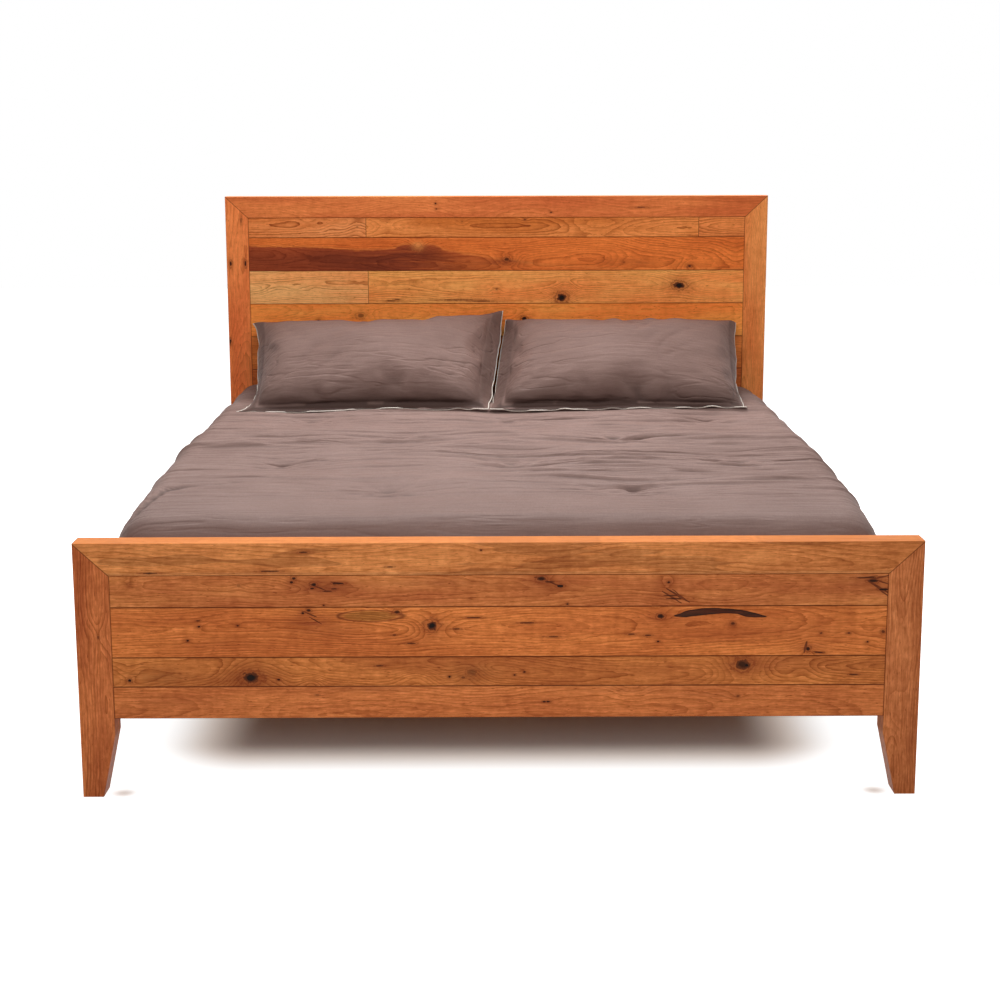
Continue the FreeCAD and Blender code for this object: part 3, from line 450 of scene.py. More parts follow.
def strokes(x, z, lines):
    """1 on tapering lines, each with its two ends and its width in mm, and 0 away from them."""
    marks = None
    for x1, z1, x2, z2, width in lines:
        dx, dz = (x2 - x1) * MM, (z2 - z1) * MM
        from_x, from_z = x - x1 * MM, z - z1 * MM
        share = ((from_x * dx + from_z * dz) / (dx * dx + dz * dz)).max(0.0).min(1.0)
        half = (share * (1.0 - share) * 2.2 + 0.45) * (width * MM / 2)
        away = length(from_x - share * dx, from_z - share * dz)
        marks = strongest(marks, (away / half).step(1.25, 0.6))
    return marks


def blots(base, x, z, grain, tone, places):
    """Ragged oval patches, each with its middle and size in mm and its strength."""
    for middle, size, strength in places:
        a, b = (x - middle[0] * MM) / (size[0] * MM), (z - middle[1] * MM) / (size[1] * MM)
        ragged = (grain["Mottle"] * 0.8 + grain["Streak"] * 0.7).step(0.45, 0.95)
        base = mix(hump(length(a, b)) * ragged * strength, base, tone)
    return base


def first_foot_row(base, x, z, grain):
    """Red clusters, a short slanting band and the cracks at the right end."""
    base = blots(base, x, z, grain, (136, 58, 30), [
        ((-430, 548), (70, 20), 0.75), ((-150, 556), (150, 10), 0.45), ((118, 556), (52, 22), 0.70),
        ((400, 548), (60, 18), 0.35), ((900, 552), (70, 24), 0.45), ((650, 508), (150, 8), 0.25),
    ])
    marks = strokes(x + (grain["Figure"] - 0.5) * 0.009, z, [
        (404, 533, 452, 503, 4.5), (414, 540, 470, 505, 5.0), (428, 538, 462, 512, 3.0),
        (908, 559, 964, 572, 4.5), (912, 557, 964, 526, 6.5), (924, 563, 963, 549, 4.0),
        (934, 541, 963, 518, 4.0), (905, 567, 934, 571, 3.0), (-470, 556, -428, 538, 3.6),
        (-414, 560, -384, 554, 4.0), (88, 570, 118, 562, 4.5), (118, 560, 158, 545, 4.0),
    ])
    return mix(marks * 0.85, base, (58, 25, 13))


def third_foot_row(base, x, z, grain):
    """Smoky and reddish patches round the big knots."""
    base = blots(base, x, z, grain, (112, 60, 30), [
        ((-850, 316), (80, 30), 0.45), ((-619, 312), (90, 34), 0.40), ((-69, 322), (60, 24), 0.55),
    ])
    return blots(base, x, z, grain, (150, 66, 34), [
        ((670, 342), (80, 30), 0.50), ((330, 318), (120, 18), 0.25),
    ])


def fourth_foot_row(base, x, z, grain):
    """Dark ragged figure along the upper edge."""
    return blots(base, x, z, grain, (136, 58, 30), [
        ((-330, 282), (140, 9), 0.55), ((300, 280), (160, 12), 0.45), ((520, 262), (90, 20), 0.30),
        ((-800, 250), (120, 14), 0.3),
    ])


def sapwood_figure(base, x, z, grain):
    """Broad tongues of darker wood, crisp at their edges, in the front of the foot rail."""
    figure = join(x * 1.7, 0.0, z * 15.0).noise(2.0, 0.5)
    tongue = figure.step(0.520, 0.535) * figure.step(0.68, 0.60)
    base = mix(tongue * 0.34, base, (124, 66, 30))
    base = mix((figure - 0.522).abs().step(0.010, 0.0) * 0.40, base, (112, 54, 24))
    bright = (z - 0.582).step(6 * MM, 0.0)
    return mix(bright * 0.5, base, (206, 138, 84))


def dot(x, z, radius=2.2, ratio=1.5):
    """A pin knot or a worm hole."""
    return (x, z, radius, ratio, 2.5, 12, 0.92)


def dash(x, z, long=16):
    """A short gum streak."""
    return (x, z, 1.5, long / 3, 0.0, 10, 0.8)


def dress_headboard():
    wood("head_top_rail", (240, 138, 75), (213, 108, 57), pith=(-60, 90), contrast=0.32, spacing=8,
         knots=[dot(-236, 1404), dot(-233, 1383, 1.8), dot(211, 1369, 2.0), dash(560, 1388, 30)], mitre=1.432)
    wood("head_post_left", (254, 147, 81), (228, 111, 58), along="Z", pith=(20, 70), slope=0.04,
         contrast=0.48, knots=[(-1034, 1173, 3.4, 2.6, 0, 10, 0.95), (-977, 1173, 3.4, 2.6, 0, 10, 0.95),
                               (-1044, 869, 3.2, 2.8, 0, 10, 0.95), (-989, 1341, 2.6, 4.0, 0, 8, 0.45)],
         mitre=1.432)
    wood("head_post_right", (250, 159, 88), (231, 128, 66), along="Z", pith=(-30, 60), slope=-0.03,
         contrast=0.40, mitre=1.432)
    ring = (-541, 1315, 1.4, 1.6, 24, 34, 0.5)
    wood("head_board_1_left", (252, 165, 100), (230, 130, 66), pith=(10, 22), slope=0.01, spacing=8,
         wander=0.5, contrast=0.92, ends=(-0.5066,),
         knots=[ring, (-640, 1322, 1.0, 1.5, 18, 26, 0.0), (-730, 1330, 1.0, 1.6, 16, 24, 0.0)])
    wood("head_board_1_middle", (247, 152, 81), (215, 119, 52), pith=(0, 26), slope=0.0, spacing=8,
         wander=0.35, contrast=0.92, ends=(-0.5066, 0.7837),
         knots=[(388, 1314, 1.0, 4.5, 46, 34, 0.0), (110, 1341, 2.0, 1.4, 8, 14, 0.7),
                (-134, 1334, 1.5, 1.4, 12, 16, 0.4), (-430, 1312, 1.0, 2.0, 22, 30, 0.0)])
    wood("head_board_1_right", (248, 150, 80), (220, 124, 64), pith=(0, 18), slope=-0.16, spacing=8,
         wander=0.2, contrast=0.95, ends=(0.7837,))
    wood("head_board_2", (246, 134, 61), (221, 110, 47), pith=(-30, 55), slope=0.02, contrast=0.62,
         knots=[(-305, 1243, 5.5, 1.3, 26, 34, -0.8), (39, 1188, 5.5, 1.6, 20, 30, 0.80),
                (51, 1181, 2.5, 1.6, 6, 16, 0.55), (494, 1174, 2.0, 2.2, 22, 42, 0.30),
                (751, 1159, 4.0, 1.3, 18, 24, 0.9), (930, 1222, 1.0, 1.5, 20, 50, 0.0)],
         extra=heartwood)
    wood("head_board_3_left", (255, 189, 118), (255, 162, 92), pith=(6, 26), slope=0.02, wander=0.5,
         contrast=0.74, ends=(-0.5008,),
         knots=[(-858, 1073, 1.4, 2.6, 14, 22, 0.25), (-700, 1080, 1.0, 3.0, 10, 18, 0.0)])
    wood("head_board_3_right", (255, 177, 96), (255, 150, 77), pith=(4, 32), slope=-0.01, wander=0.5,
         contrast=0.67, ends=(-0.5008,),
         knots=[(253, 1037, 12.5, 1.2, 30, 40, 1.0), (271, 1078, 4.0, 1.4, 18, 24, 0.0),
                (711, 1084, 10.5, 1.7, 26, 52, 1.0), (0, 1072, 2.6, 1.6, 10, 18, 0.6),
                dash(-412, 1026, 30), dash(-388, 1032, 18), dash(-150, 1029, 110), dash(-60, 1024, 60)])
    wood("head_board_4", (255, 162, 77), (255, 136, 60), pith=(30, 70), slope=0.02, contrast=0.42,
         knots=[(-697, 947, 4.5, 1.3, 12, 22, 0.85), (-532, 968, 7.5, 1.5, 18, 40, 0.60),
                (107, 955, 6.5, 1.3, 12, 26, 1.0), (680, 930, 2.0, 1.4, 6, 14, 0.5)])
    wood("head_board_5", (240, 138, 68), (214, 114, 52), pith=(-20, 40), slope=0.01,
         knots=[(180, 820, 6, 1.4, 18, 36, 0.9), (-640, 800, 5, 1.4, 14, 30, 0.8)])
    wood("head_board_6", (232, 126, 62), (202, 102, 48), pith=(25, 50), slope=-0.02,
         knots=[(-250, 690, 7, 1.5, 20, 40, 0.9)])
    wood("head_board_7", (244, 142, 70), (214, 116, 54), pith=(0, 35), slope=0.02,
         knots=[(520, 560, 6, 1.3, 20, 36, 0.9)])
    wood("head_board_8", (238, 136, 70), (210, 112, 52), pith=(-15, 60), slope=-0.015,
         knots=[(-400, 440, 7, 1.5, 20, 40, 0.9)])
    wood("head_bottom_rail", (232, 134, 68), (204, 108, 50), pith=(20, 80), slope=0.01)


def dress_footboard():
    wood("foot_top_rail", (240, 155, 88), (211, 127, 69), pith=(0, 34), slope=0.012, spacing=10,
         contrast=0.54, mitre=0.659, extra=sapwood_figure,
         knots=[dot(-44, 640, 1.6), dash(-268, 598, 14), dash(-564, 588, 40), dash(-481, 636, 18),
                dash(-860, 584, 30)])
    wood("foot_post_left", (226, 132, 75), (191, 100, 55), along="Z", pith=(8, 26), slope=0.05,
         contrast=0.67, mitre=0.659,
         knots=[(-994, 420, 2.6, 1.6, 22, 30, 0.55), (-1000, 345, 1.0, 3.0, 10, 20, 0.0)])
    wood("foot_post_right", (225, 137, 82), (192, 109, 61), along="Z", pith=(-4, 34), slope=-0.03,
         contrast=0.58, mitre=0.659,
         knots=[(994, 222, 1.0, 3.4, 26, 22, 0.0), (1004, 470, 1.0, 3.6, 16, 22, 0.0)])
    wood("foot_board_1", (231, 145, 81), (194, 106, 58), pith=(10, 44), contrast=0.58,
         extra=first_foot_row,
         knots=[(-912, 556, 5.0, 1.5, 14, 18, 0.10), (-643, 551, 3.0, 1.4, 8, 14, 0.3),
                dot(-506, 569, 3.2), dot(-512, 559, 2.4), (-457, 553, 4.0, 1.5, 12, 24, 0.95),
                dot(-462, 543, 2.0, 2.4), (-396, 556, 2.2, 5.0, 6, 20, 0.8), dash(-424, 536, 22),
                dash(-408, 542, 14), dot(-434, 500, 1.6), (105, 566, 5.0, 1.8, 12, 26, 0.9),
                dash(125, 558, 26), (152, 547, 3.0, 2.6, 8, 20, 0.95), dot(169, 501, 1.8),
                (419, 556, 2.6, 1.4, 10, 18, 0.9), dash(434, 514, 36), dash(425, 522, 30),
                (925, 558, 3.2, 3.6, 8, 24, 0.95), (951, 536, 2.4, 4.0, 6, 16, 0.95), dash(905, 566, 40)])
    wood("foot_board_2", (242, 144, 75), (208, 113, 57), pith=(12, 34), slope=0.025, wander=0.75,
         contrast=0.67, extra=bark_inclusion,
         knots=[(-166, 447, 9.5, 1.2, 22, 34, 1.0), (-253, 482, 4.0, 1.7, 10, 20, 0.85), dot(-471, 487, 3.4),
                dot(-486, 480, 2.2), dot(-746, 461, 1.6, 2.6), dot(-744, 446, 2.2), dot(-773, 410, 2.2),
                dot(-648, 448, 1.8), dash(-65, 467, 32), dash(70, 453, 30), dash(-106, 438, 16),
                dash(-218, 401, 20), dash(-260, 423, 10), dash(135, 417, 26),
                (400, 469, 4.5, 1.6, 18, 34, 0.95), (580, 450, 3.6, 1.3, 10, 18, 0.75), dash(329, 423, 16),
                dash(370, 420, 14), dot(395, 404, 2.0), (768, 383, 4.6, 1.0, 12, 24, 0.95),
                dash(795, 374, 18), dot(800, 424, 1.6), dot(869, 424, 1.6, 2.4), dot(916, 401, 1.6),
                (954, 428, 3.4, 1.2, 8, 16, 0.7)])
    wood("foot_board_3", (229, 140, 73), (185, 101, 51), pith=(4, 36), slope=-0.01, contrast=0.67,
         extra=third_foot_row,
         knots=[(-921, 307, 3.4, 1.1, 6, 16, 1.0), (-925, 331, 1.0, 1.4, 14, 24, 0.0),
                (-619, 313, 11.5, 1.5, 34, 46, 1.0), dot(-550, 308, 2.0), (-468, 300, 1.0, 1.4, 18, 20, 0.0),
                dash(-300, 343, 16), (-206, 312, 1.0, 1.6, 24, 30, 0.0), (-69, 326, 8.0, 1.2, 22, 34, 0.42),
                (-90, 312, 3.0, 1.4, 8, 16, 0.5), dot(38, 318, 1.8), dot(63, 326, 1.6), dot(-124, 314, 2.0),
                (607, 343, 11.0, 1.4, 34, 44, 0.9), (616, 341, 3.0, 1.2, 0, 20, 1.0), dash(884, 316, 18),
                (760, 330, 1.0, 1.6, 16, 26, 0.0)])
    wood("foot_board_4", (239, 144, 80), (207, 116, 63), pith=(-30, 60), contrast=0.51,
         extra=fourth_foot_row,
         knots=[(-455, 268, 2.0, 2.4, 12, 22, 0.45), dot(112, 248, 2.0, 2.0), dot(122, 248, 2.0, 2.0),
                (597, 261, 2.2, 1.6, 6, 14, 0.6), (330, 276, 1.0, 1.6, 18, 30, 0.0)])


def dress_support():
    """The frame behind and below: rails as the bed, the rest in plain pale wood."""
    for side in ("left", "right"):
        wood(f"side_rail_{side}", (226, 132, 70), (194, 104, 52), along="Y", pith=(10, 60), contrast=0.54)
        for node in (f"head_batten_{side}", f"foot_batten_{side}"):
            wood(node, (206, 150, 104), (184, 124, 80), along="Z", pith=(5, 30))
        wood(f"rail_ledger_{side}", (214, 170, 122), (196, 146, 98), along="Y", pith=(5, 30))
    wood("foot_back_rail", (206, 150, 104), (184, 124, 80), pith=(10, 40))
    wood("centre_beam", (214, 170, 122), (194, 142, 94), along="Y", pith=(5, 40))
    wood("mitre_splines", (226, 132, 70), (194, 104, 52))
    for i in range(1, 7):
        wood(f"slat_{i}", (218, 176, 128), (196, 148, 100), pith=(4 * i, 30 + 5 * i), slope=0.01 * (i - 3),
             knots=[(330 * (i % 3 - 1) + 90, 245, 7, 1.4, 14, 30, 0.7)])
    for i in range(1, 4):
        wood(f"centre_leg_{i}", (208, 160, 112), (188, 134, 88), along="Z", pith=(5, 25))


def dress_hardware():
    steel, tree, shader, at = material("zinc_steel_brushed")
    brushed = at.stretch((900, 40, 900)).noise(2.0)
    blotch = at.stretch((60, 60, 60)).noise(3.0, 0.6)
    base = mix(blotch.step(0.3, 0.7), (186, 190, 194), (150, 154, 158))
    surface(tree, shader, base, blotch * 0.2 + brushed * 0.15 + 0.2, brushed, 0.05, 0.4, {"Metallic": 1.0})
    pad, tree, shader, at = material("pad_nylon")
    fine = at.stretch((1600, 1600, 1600)).noise(1.0)
    surface(tree, shader, mix(fine, (30, 30, 32), (44, 44, 46)), fine * 0.2 + 0.45, fine, 0.08, 0.6)
    fittings = "hook_plates post_plates plate_screws slat_screws beam_hangers leg_thread_nuts"
    for node in fittings.split():
        dress(node, steel)
    for i in range(1, 4):
        dress(f"leveller_stud_{i}", steel)
        dress(f"leveller_pad_{i}", pad)


# Fabrics
def sateen(name, first, second, wrinkle=1.0, shade=0.62):
    """A fine sateen: its threads, faint slubs, soft creases, a low sheen and painted shade in its folds."""
    made, tree, shader, at = material(name)
    x, y, z = at.split()
    warp = (x * 5200.0 + z * 2600.0).do("SINE")
    weft = (y * 5200.0 + z * 4600.0).do("SINE")
    slub = at.stretch((60, 420, 420)).noise(2.0) + at.stretch((420, 60, 160), (3, 7, 1)).noise(2.0)
    cloud = at.stretch((5, 5, 5)).noise(3.0, 0.6)
    soft = at.stretch((2.4, 19, 15), (1, 2, 5)).noise(2.0, 0.5)
    crease = (soft - 0.5).abs().step(0.0, 0.055)
    crease = crease * at.stretch((2, 3, 3), (6, 6, 2)).noise(1.0).step(0.35, 0.6)
    fine = at.stretch((9, 56, 42), (4, 1, 2)).noise(3.0, 0.6)
    fold = Field(tree, add(tree, "Attribute", attribute_name="fold").outputs["Fac"])
    base = mix(cloud.step(0.25, 0.75), first, second)
    # Painted shade in the folds, read from the fold attribute
    base = mix(fold * shade, base, (58, 40, 35))
    threads = warp * weft * 0.5 + 0.5
    base = mix(threads * 0.10 + slub.ramp(0.8, 1.2, 0.0, 0.12), base, (84, 68, 63))
    height = soft * 7.0 + crease * (1.1 * wrinkle) + fine * (1.6 * wrinkle) + threads * 0.05 + slub * 0.06
    surface(tree, shader, base, slub.ramp(0.7, 1.3, 0.50, 0.66), height, 1.6, 0.9, {
        "Specular IOR Level": 0.10, "Sheen Weight": 0.07, "Sheen Roughness": 0.4,
        "Sheen Tint": linear((215, 200, 195)),
    })
    return made


def plain_cloth(name, first, second, scale):
    made, tree, shader, at = material(name)
    patches = at.stretch((scale, scale, scale)).noise(3.0, 0.6)
    x, y, z = at.split()
    weave = (x * 3000.0 + z * 1800.0).do("SINE") * (y * 3000.0 + z * 2400.0).do("SINE")
    base = mix(patches.step(0.3, 0.7), first, second)
    surface(tree, shader, base, patches * 0.2 + 0.7, weave * 0.2 + patches, 0.4, 0.6)
    return made


SATEEN = sateen("bedding_sateen_taupe", (154, 127, 119), (144, 117, 109))
SHAM = sateen("bedding_sateen_sham", (140, 113, 105), (130, 103, 95), 1.3, 0.90)
PIPING = plain_cloth("piping_cotton", (238, 230, 220), (214, 204, 192), 300)
TICKING = plain_cloth("mattress_ticking", (232, 228, 220), (214, 208, 198), 120)
BASE_CLOTH = plain_cloth("box_spring_cloth", (206, 202, 196), (184, 180, 174), 160)
DUST_CLOTH = plain_cloth("dust_cover_cloth", (96, 94, 92), (74, 72, 70), 200)


def link(name, data):
    item = bpy.data.objects.new(name, data)
    bpy.context.scene.collection.objects.link(item)
    return item


def shape(name, points, faces, *materials):
    """A smooth mesh object."""
    data = bpy.data.meshes.new(name)
    data.from_pydata([tuple(p) for p in points], [], faces)
    data.polygons.foreach_set("use_smooth", [True] * len(data.polygons))
    for made in materials:
        data.materials.append(made)
    return link(name, data)


def soft_piece(item, node):
    """Attaches a padded piece to the bed and hides the node whose place it takes."""
    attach(item, "bed")
    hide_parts(node)


def wave(x, y, z=0.0):
    return noise.noise(Vector((x, y, z)))


def clamp(value):
    return min(1.0, max(0.0, value))


def bell(value):
    return math.exp(-(value**2))


def cells(grid, nx, ny):
    """The four corners of every cell of a grid."""
    corners = ((0, 0), (1, 0), (1, 1), (0, 1))
    return [[grid[i + a, j + b] for a, b in corners] for j in range(ny) for i in range(nx)]


def band(upper, lower):
    """The faces between two closed loops of points."""
    ahead = list(range(1, len(upper))) + [0]
    return [(upper[k], lower[k], lower[m], upper[m]) for k, m in enumerate(ahead)]


def flipped(quads):
    """The same faces, looking the other way."""
    return [(a, d, c, b) for a, b, c, d in quads]


def note_folds(data, depth, rounds=2):
    """Writes at every point how far it lies in a fold, from 0 to 1, which the cloth's shader reads as painted
    shade.
    """
    mesh = bmesh.new()
    mesh.from_mesh(data)
    mesh.normal_update()
    around = [[edge.other_vert(v).index for edge in v.link_edges] for v in mesh.verts]
    places = [v.co.copy() for v in mesh.verts]
    normals = [v.normal.copy() for v in mesh.verts]
    mesh.free()
    wide = places
    for _ in range(rounds):
        wide = [sum((wide[m] for m in near), p.copy()) / (len(near) + 1)
                for p, near in zip(wide, around)]
    folds = [(w - p).dot(n) / depth for w, p, n in zip(wide, places, normals)]
    folds = [(f + sum(folds[m] for m in near)) / (len(near) + 1) for f, near in zip(folds, around)]
    attribute = data.attributes.new("fold", "FLOAT", "POINT")
    attribute.data.foreach_set("value", [clamp(f) for f in folds])


# Comforter
SHOULDER_Z = 0.680
CROWN = 0.009
SOFT_DIP = 0.015
MATTRESS_TOP = 0.650
FILLING = 0.018
FOOT_Y = -1.0285
HEAD_Y = 1.0400
HEM_Z = 0.332
TUCK_Z = 0.432
FOLD_PERIOD = 2 * 2.069 / 14
RIDGES = ((0.0105, 0.120, 1.7), (0.0110, 0.078, 5.2), (0.0090, 0.049, 8.4), (0.0058, 0.033, 2.9))
CORNER_FOLD = (
    (-1.00, -0.99), (-0.963, -0.871), (-0.945, -0.740), (-0.925, -0.665), (-0.882, -0.633), (-0.780, -0.610),
)
TUFTS = []
for row in range(1, 6):
    in_row = 3 - row % 2
    TUFTS += [(0.035 + (k - (in_row - 1) / 2) * 0.680, -0.9945 + row * 0.337) for k in range(in_row)]


def half_width(y):
    return 1.024 - 0.053 * (min(y, 0.0) / FOOT_Y) ** 2


def crown_z(x):
    return SHOULDER_Z + CROWN * (1 - min(1.0, (x / 0.965) ** 2))


def ridges(x, y, size, seed):
    """Long soft folds across the bed, with sharper crests than valleys."""
    bend = 0.04 * wave(x * 0.8, y * 1.1, seed) + 0.006 * wave(x * 3.1, y * 4, seed + 3)
    crest = 0.0
    for _ in range(2):
        line = wave(x * 0.85 + 3 * seed, (y + bend - 0.16 * size * crest) / size, seed + 9)
        crest = max(0.0, 1 - abs(line) * 3.4) ** 1.4
    return crest * min(1.0, max(0.12, 0.62 + 1.6 * wave(x * 1.1, y * 2.6, seed + 17)))


def corner_fold(x, y):
    """The slanting fold where the comforter is tucked in at its left foot corner."""
    if x > -0.72 or y > -0.5:
        return 0.0
    best, side, run = 9.0, 0.0, 0.0
    for k, ((ax, ay), (bx, by)) in enumerate(zip(CORNER_FOLD, CORNER_FOLD[1:])):
        squared = (bx - ax) ** 2 + (by - ay) ** 2
        share = clamp(((x - ax) * (bx - ax) + (y - ay) * (by - ay)) / squared)
        away = math.hypot(x - ax - share * (bx - ax), y - ay - share * (by - ay))
        if away < best:
            best, run = away, (k + share) / (len(CORNER_FOLD) - 1)
            side = math.copysign(1.0, (bx - ax) * (y - ay) - (by - ay) * (x - ax))
    crest = bell((best * side - 0.014) / 0.015)
    valley = bell((best * side + 0.010) / 0.011)
    return (0.010 * crest - 0.009 * valley) * min(1.0, 1.25 - run)


def tuft_sag(dx, dy, seed):
    """How far in front of a tuft's wavy crease a place is."""
    return dy + 0.16 * dx * dx - 0.010 * math.cos(dx * 22 + seed)


def tuft_pull(dx, dy, seed):
    """A sewn tie: a dimple, a crease to both sides of it, and small gathers round it."""
    distance = math.hypot(dx, dy)
    if distance > 0.42:
        return 0.0
    sag = tuft_sag(dx, dy, seed)
    crease = math.exp(-abs(sag / 0.0085) ** 1.5) * bell(dx / 0.062)
    trail = bell(sag / 0.010) * bell(dx / 0.19)
    lip = bell((sag + 0.026) / 0.015) * bell(dx / 0.10)
    turn = math.atan2(dy, dx)
    gather = math.exp(-distance / 0.10) * min(1.0, distance / 0.025) * abs(math.cos(turn))
    return (
        -0.014 * bell(distance / 0.032)
        - 0.022 * crease
        - 0.007 * trail
        + 0.0100 * lip
        - 0.009 * bell(distance / 0.13)
        + 0.0016 * gather * math.cos(17 * math.sin(turn) + seed)
    )


def top_relief(x, y):
    """Height of puffs, tufts and folds on the comforter's top."""
    nearest = min(math.hypot(x - a, y - b) for a, b in TUFTS)
    relief = 0.007 * (1 - bell(nearest / 0.22)) - 0.004
    relief += sum(tuft_pull(x - a, y - b, 7 * a + 3 * b) for a, b in TUFTS)
    far = clamp((y + 0.85) / 0.45)
    folds = sum(height * ridges(x, y, size, seed) for height, size, seed in RIDGES)
    relief += folds * (0.09 + 0.91 * far) + corner_fold(x, y)
    relief += 0.0045 * wave(x * 2.6, y * 2.6, 7.7) + 0.0016 * wave(x * 7, y * 8, 2.2)
    if relief < -SOFT_DIP:
        relief = -SOFT_DIP - SOFT_DIP * (1 - math.exp((relief + SOFT_DIP) / SOFT_DIP))
    return relief


def comforter_surface():
    """Rows from head to foot, then the skirt: points, faces and the number of points on top."""
    columns, rows, turn_steps, fall_steps = 160, 500, 9, 17
    points = []
    inset = 0.08
    corner = 0.03
    foot_line = FOOT_Y + 0.09
    index = {}
    edge_normal = {}
    for j in range(rows + 1):
        y = HEAD_Y + (foot_line - HEAD_Y) * j / rows
        reach = half_width(y) - inset
        into = foot_line + corner - y
        if into > 0:
            reach -= corner - math.sqrt(max(0.0, corner**2 - into**2))
        for i in range(columns + 1):
            share = 2 * i / columns - 1
            index[i, j] = len(points)
            points.append(Vector((share * reach, y, 0.0)))
            if i in (0, columns):
                lean = clamp(into / corner)
                edge_normal[i, j] = Vector((math.copysign(math.sqrt(1 - lean**2), share), -lean, 0.0))
            elif j == rows:
                edge_normal[i, j] = Vector((0.0, -1.0, 0.0))
    top_count = len(points)
    faces = flipped(cells(index, columns, rows))
    rim = [(0, j) for j in range(rows + 1)]
    rim += [(i, rows) for i in range(1, columns)]
    rim += [(columns, j) for j in range(rows, -1, -1)]
    loop = [index[key] for key in rim]
    starts = [points[index[key]].copy() for key in rim]
    normals = [edge_normal[key] for key in rim]
    for q in range(1, turn_steps + fall_steps + 1):
        turn = math.pi / 2 * min(1.0, q / turn_steps)
        fall = max(0.0, (q - turn_steps) / fall_steps)
        previous, loop = loop, []
        for start, normal in zip(starts, normals):
            footward = normal.y**2
            radius = 0.08 + 0.01 * footward
            hem = HEM_Z + (TUCK_Z - HEM_Z) * footward
            down = radius * (1 - math.cos(turn)) + (SHOULDER_Z - radius - hem) * fall
            fold = 0.009 * wave(start.y * 9 + start.x, 1.7) * math.sin(turn) * (1 - fall)
            fold -= 0.011 * math.cos(2 * math.pi * (start.y - FOOT_Y) / FOLD_PERIOD) * fall**0.8
            fold += 0.006 * wave(start.y * 5 + start.x, down * 4, 1.3) * fall
            fold += 0.0035 * wave(start.y * 14 + start.x, down * 9, 4.3) * fall
            flare = (1.055 - half_width(start.y)) * fall
            place = start + normal * (radius * math.sin(turn) + (flare + fold) * (1 - footward))
            place.z = -down
            loop.append(len(points))
            points.append(place)
        faces += band(previous, loop)[:-1]
    return points, faces, top_count


def make_comforter():
    points, faces, top_count = comforter_surface()
    for n, p in enumerate(points):
        share = 1.0 if n < top_count else max(0.0, 1 + p.z / 0.10)
        p.z += crown_z(p.x) + top_relief(p.x, p.y) * share
    item = shape("bedding_comforter", points, faces, SATEEN)
    # Painted shade in the fold attribute: in the creases, darker towards the foot end and along the tufts'
    # creases
    note_folds(item.data, 0.0012, 3)
    for n, fold in enumerate(item.data.attributes["fold"].data):
        x, y = points[n].x, points[n].y
        deep = 0.22 * max(0.0, (-0.62 - y) / 0.36) ** 1.5
        for a, b in TUFTS:
            if n < top_count and abs(x - a) < 0.40 and abs(y - b) < 0.08:
                sag = tuft_sag(x - a, y - b, 7 * a + 3 * b)
                deep += 1.4 * bell(sag / 0.0075) * bell((x - a) / 0.055)
                deep += 0.30 * bell(sag / 0.006) * bell((x - a) / 0.17)
        fold.value = min(1.0, fold.value + deep)
    thinned = item.vertex_groups.new(name="thickness")
    for n in range(len(points)):
        room = points[n].z - MATTRESS_TOP - 0.001 if n < top_count else FILLING
        thinned.add([n], min(1.0, max(0.05, room / FILLING)), "REPLACE")
    solid = item.modifiers.new("thickness", "SOLIDIFY")
    put(solid, vertex_group=thinned.name, thickness=FILLING, offset=-1.0, use_even_offset=False)
    soft_piece(item, "comforter")


# Pillows: two sewn layers blown up by a cloth simulation, with a flat flange and piping.
# Each has its side of the bed, its roll in degrees and its seed.
PILLOWS = {"left": (-1, 1.1, 3), "right": (1, -0.3, 8)}
REACH = 0.918
GAP = 0.005
BORDER = (REACH - GAP / 2) / 2
FLANGE = 0.040
FILLED = BORDER - FLANGE
HALF_HEIGHT = 0.243
THICK = 0.220
CELL = 0.0108
CLOTH_FRAMES = 34
CLOTH_PRESSURE = 4.4
HEADBOARD_FACE = 1.0415
HEADBOARD_GAP = 0.040
WAIST = 0.012
FLARE = 0.031
MEETING_SLANT = 0.057
TILT = math.radians(28)


def rim_of(nx, ny):
    """The points round a grid, once round and anticlockwise."""
    rim = [(i, 0) for i in range(nx)] + [(nx, j) for j in range(ny)]
    return rim + [(i, ny) for i in range(nx, 0, -1)] + [(0, j) for j in range(ny, 0, -1)]


def pillow_layers(seed):
    """The two sewn layers of a pillow, and with every point its place from -1 to 1 both ways."""
    nx, ny = 2 * round(FILLED / CELL), 2 * round(HALF_HEIGHT / CELL)
    points, shares = [], []
    grids = {1: {}, -1: {}}
    for layer, grid in grids.items():
        for j in range(ny + 1):
            for i in range(nx + 1):
                on_edge = i in (0, nx) or j in (0, ny)
                if on_edge and layer < 0:
                    grid[i, j] = grids[1][i, j]
                    continue
                u, v = 2 * i / nx - 1, 2 * j / ny - 1
                z = 0.0 if on_edge else layer * (0.012 + 0.004 * wave(u * 4, v * 3, seed + layer))
                grid[i, j] = len(points)
                points.append((FILLED * u, HALF_HEIGHT * v, z))
                shares.append((u, v))
    front = cells(grids[1], nx, ny)
    back = [quad[::-1] for quad in cells(grids[-1], nx, ny)]
    seam = [grids[1][key] for key in rim_of(nx, ny)]
    return points, shares, front, back, seam


def draw_seams_to_form(places, shares):
    """Draws the seams in a little between the corners, and the rest along with them."""
    rows, columns = {}, {}
    for p, (u, v) in zip(places, shares):
        if abs(v) == 1:
            rows[round(u, 4), v] = v * (HALF_HEIGHT - WAIST * (1 - u * u)) - p.y
        if abs(u) == 1:
            columns[u, round(v, 4)] = u * (FILLED - WAIST * (1 - v * v)) - p.x
    for p, (u, v) in zip(places, shares):
        low, high = rows[round(u, 4), -1], rows[round(u, 4), 1]
        left, right = columns[-1, round(v, 4)], columns[1, round(v, 4)]
        p.y += low + (high - low) * (v + 1) / 2
        p.x += left + (right - left) * (u + 1) / 2
    return places


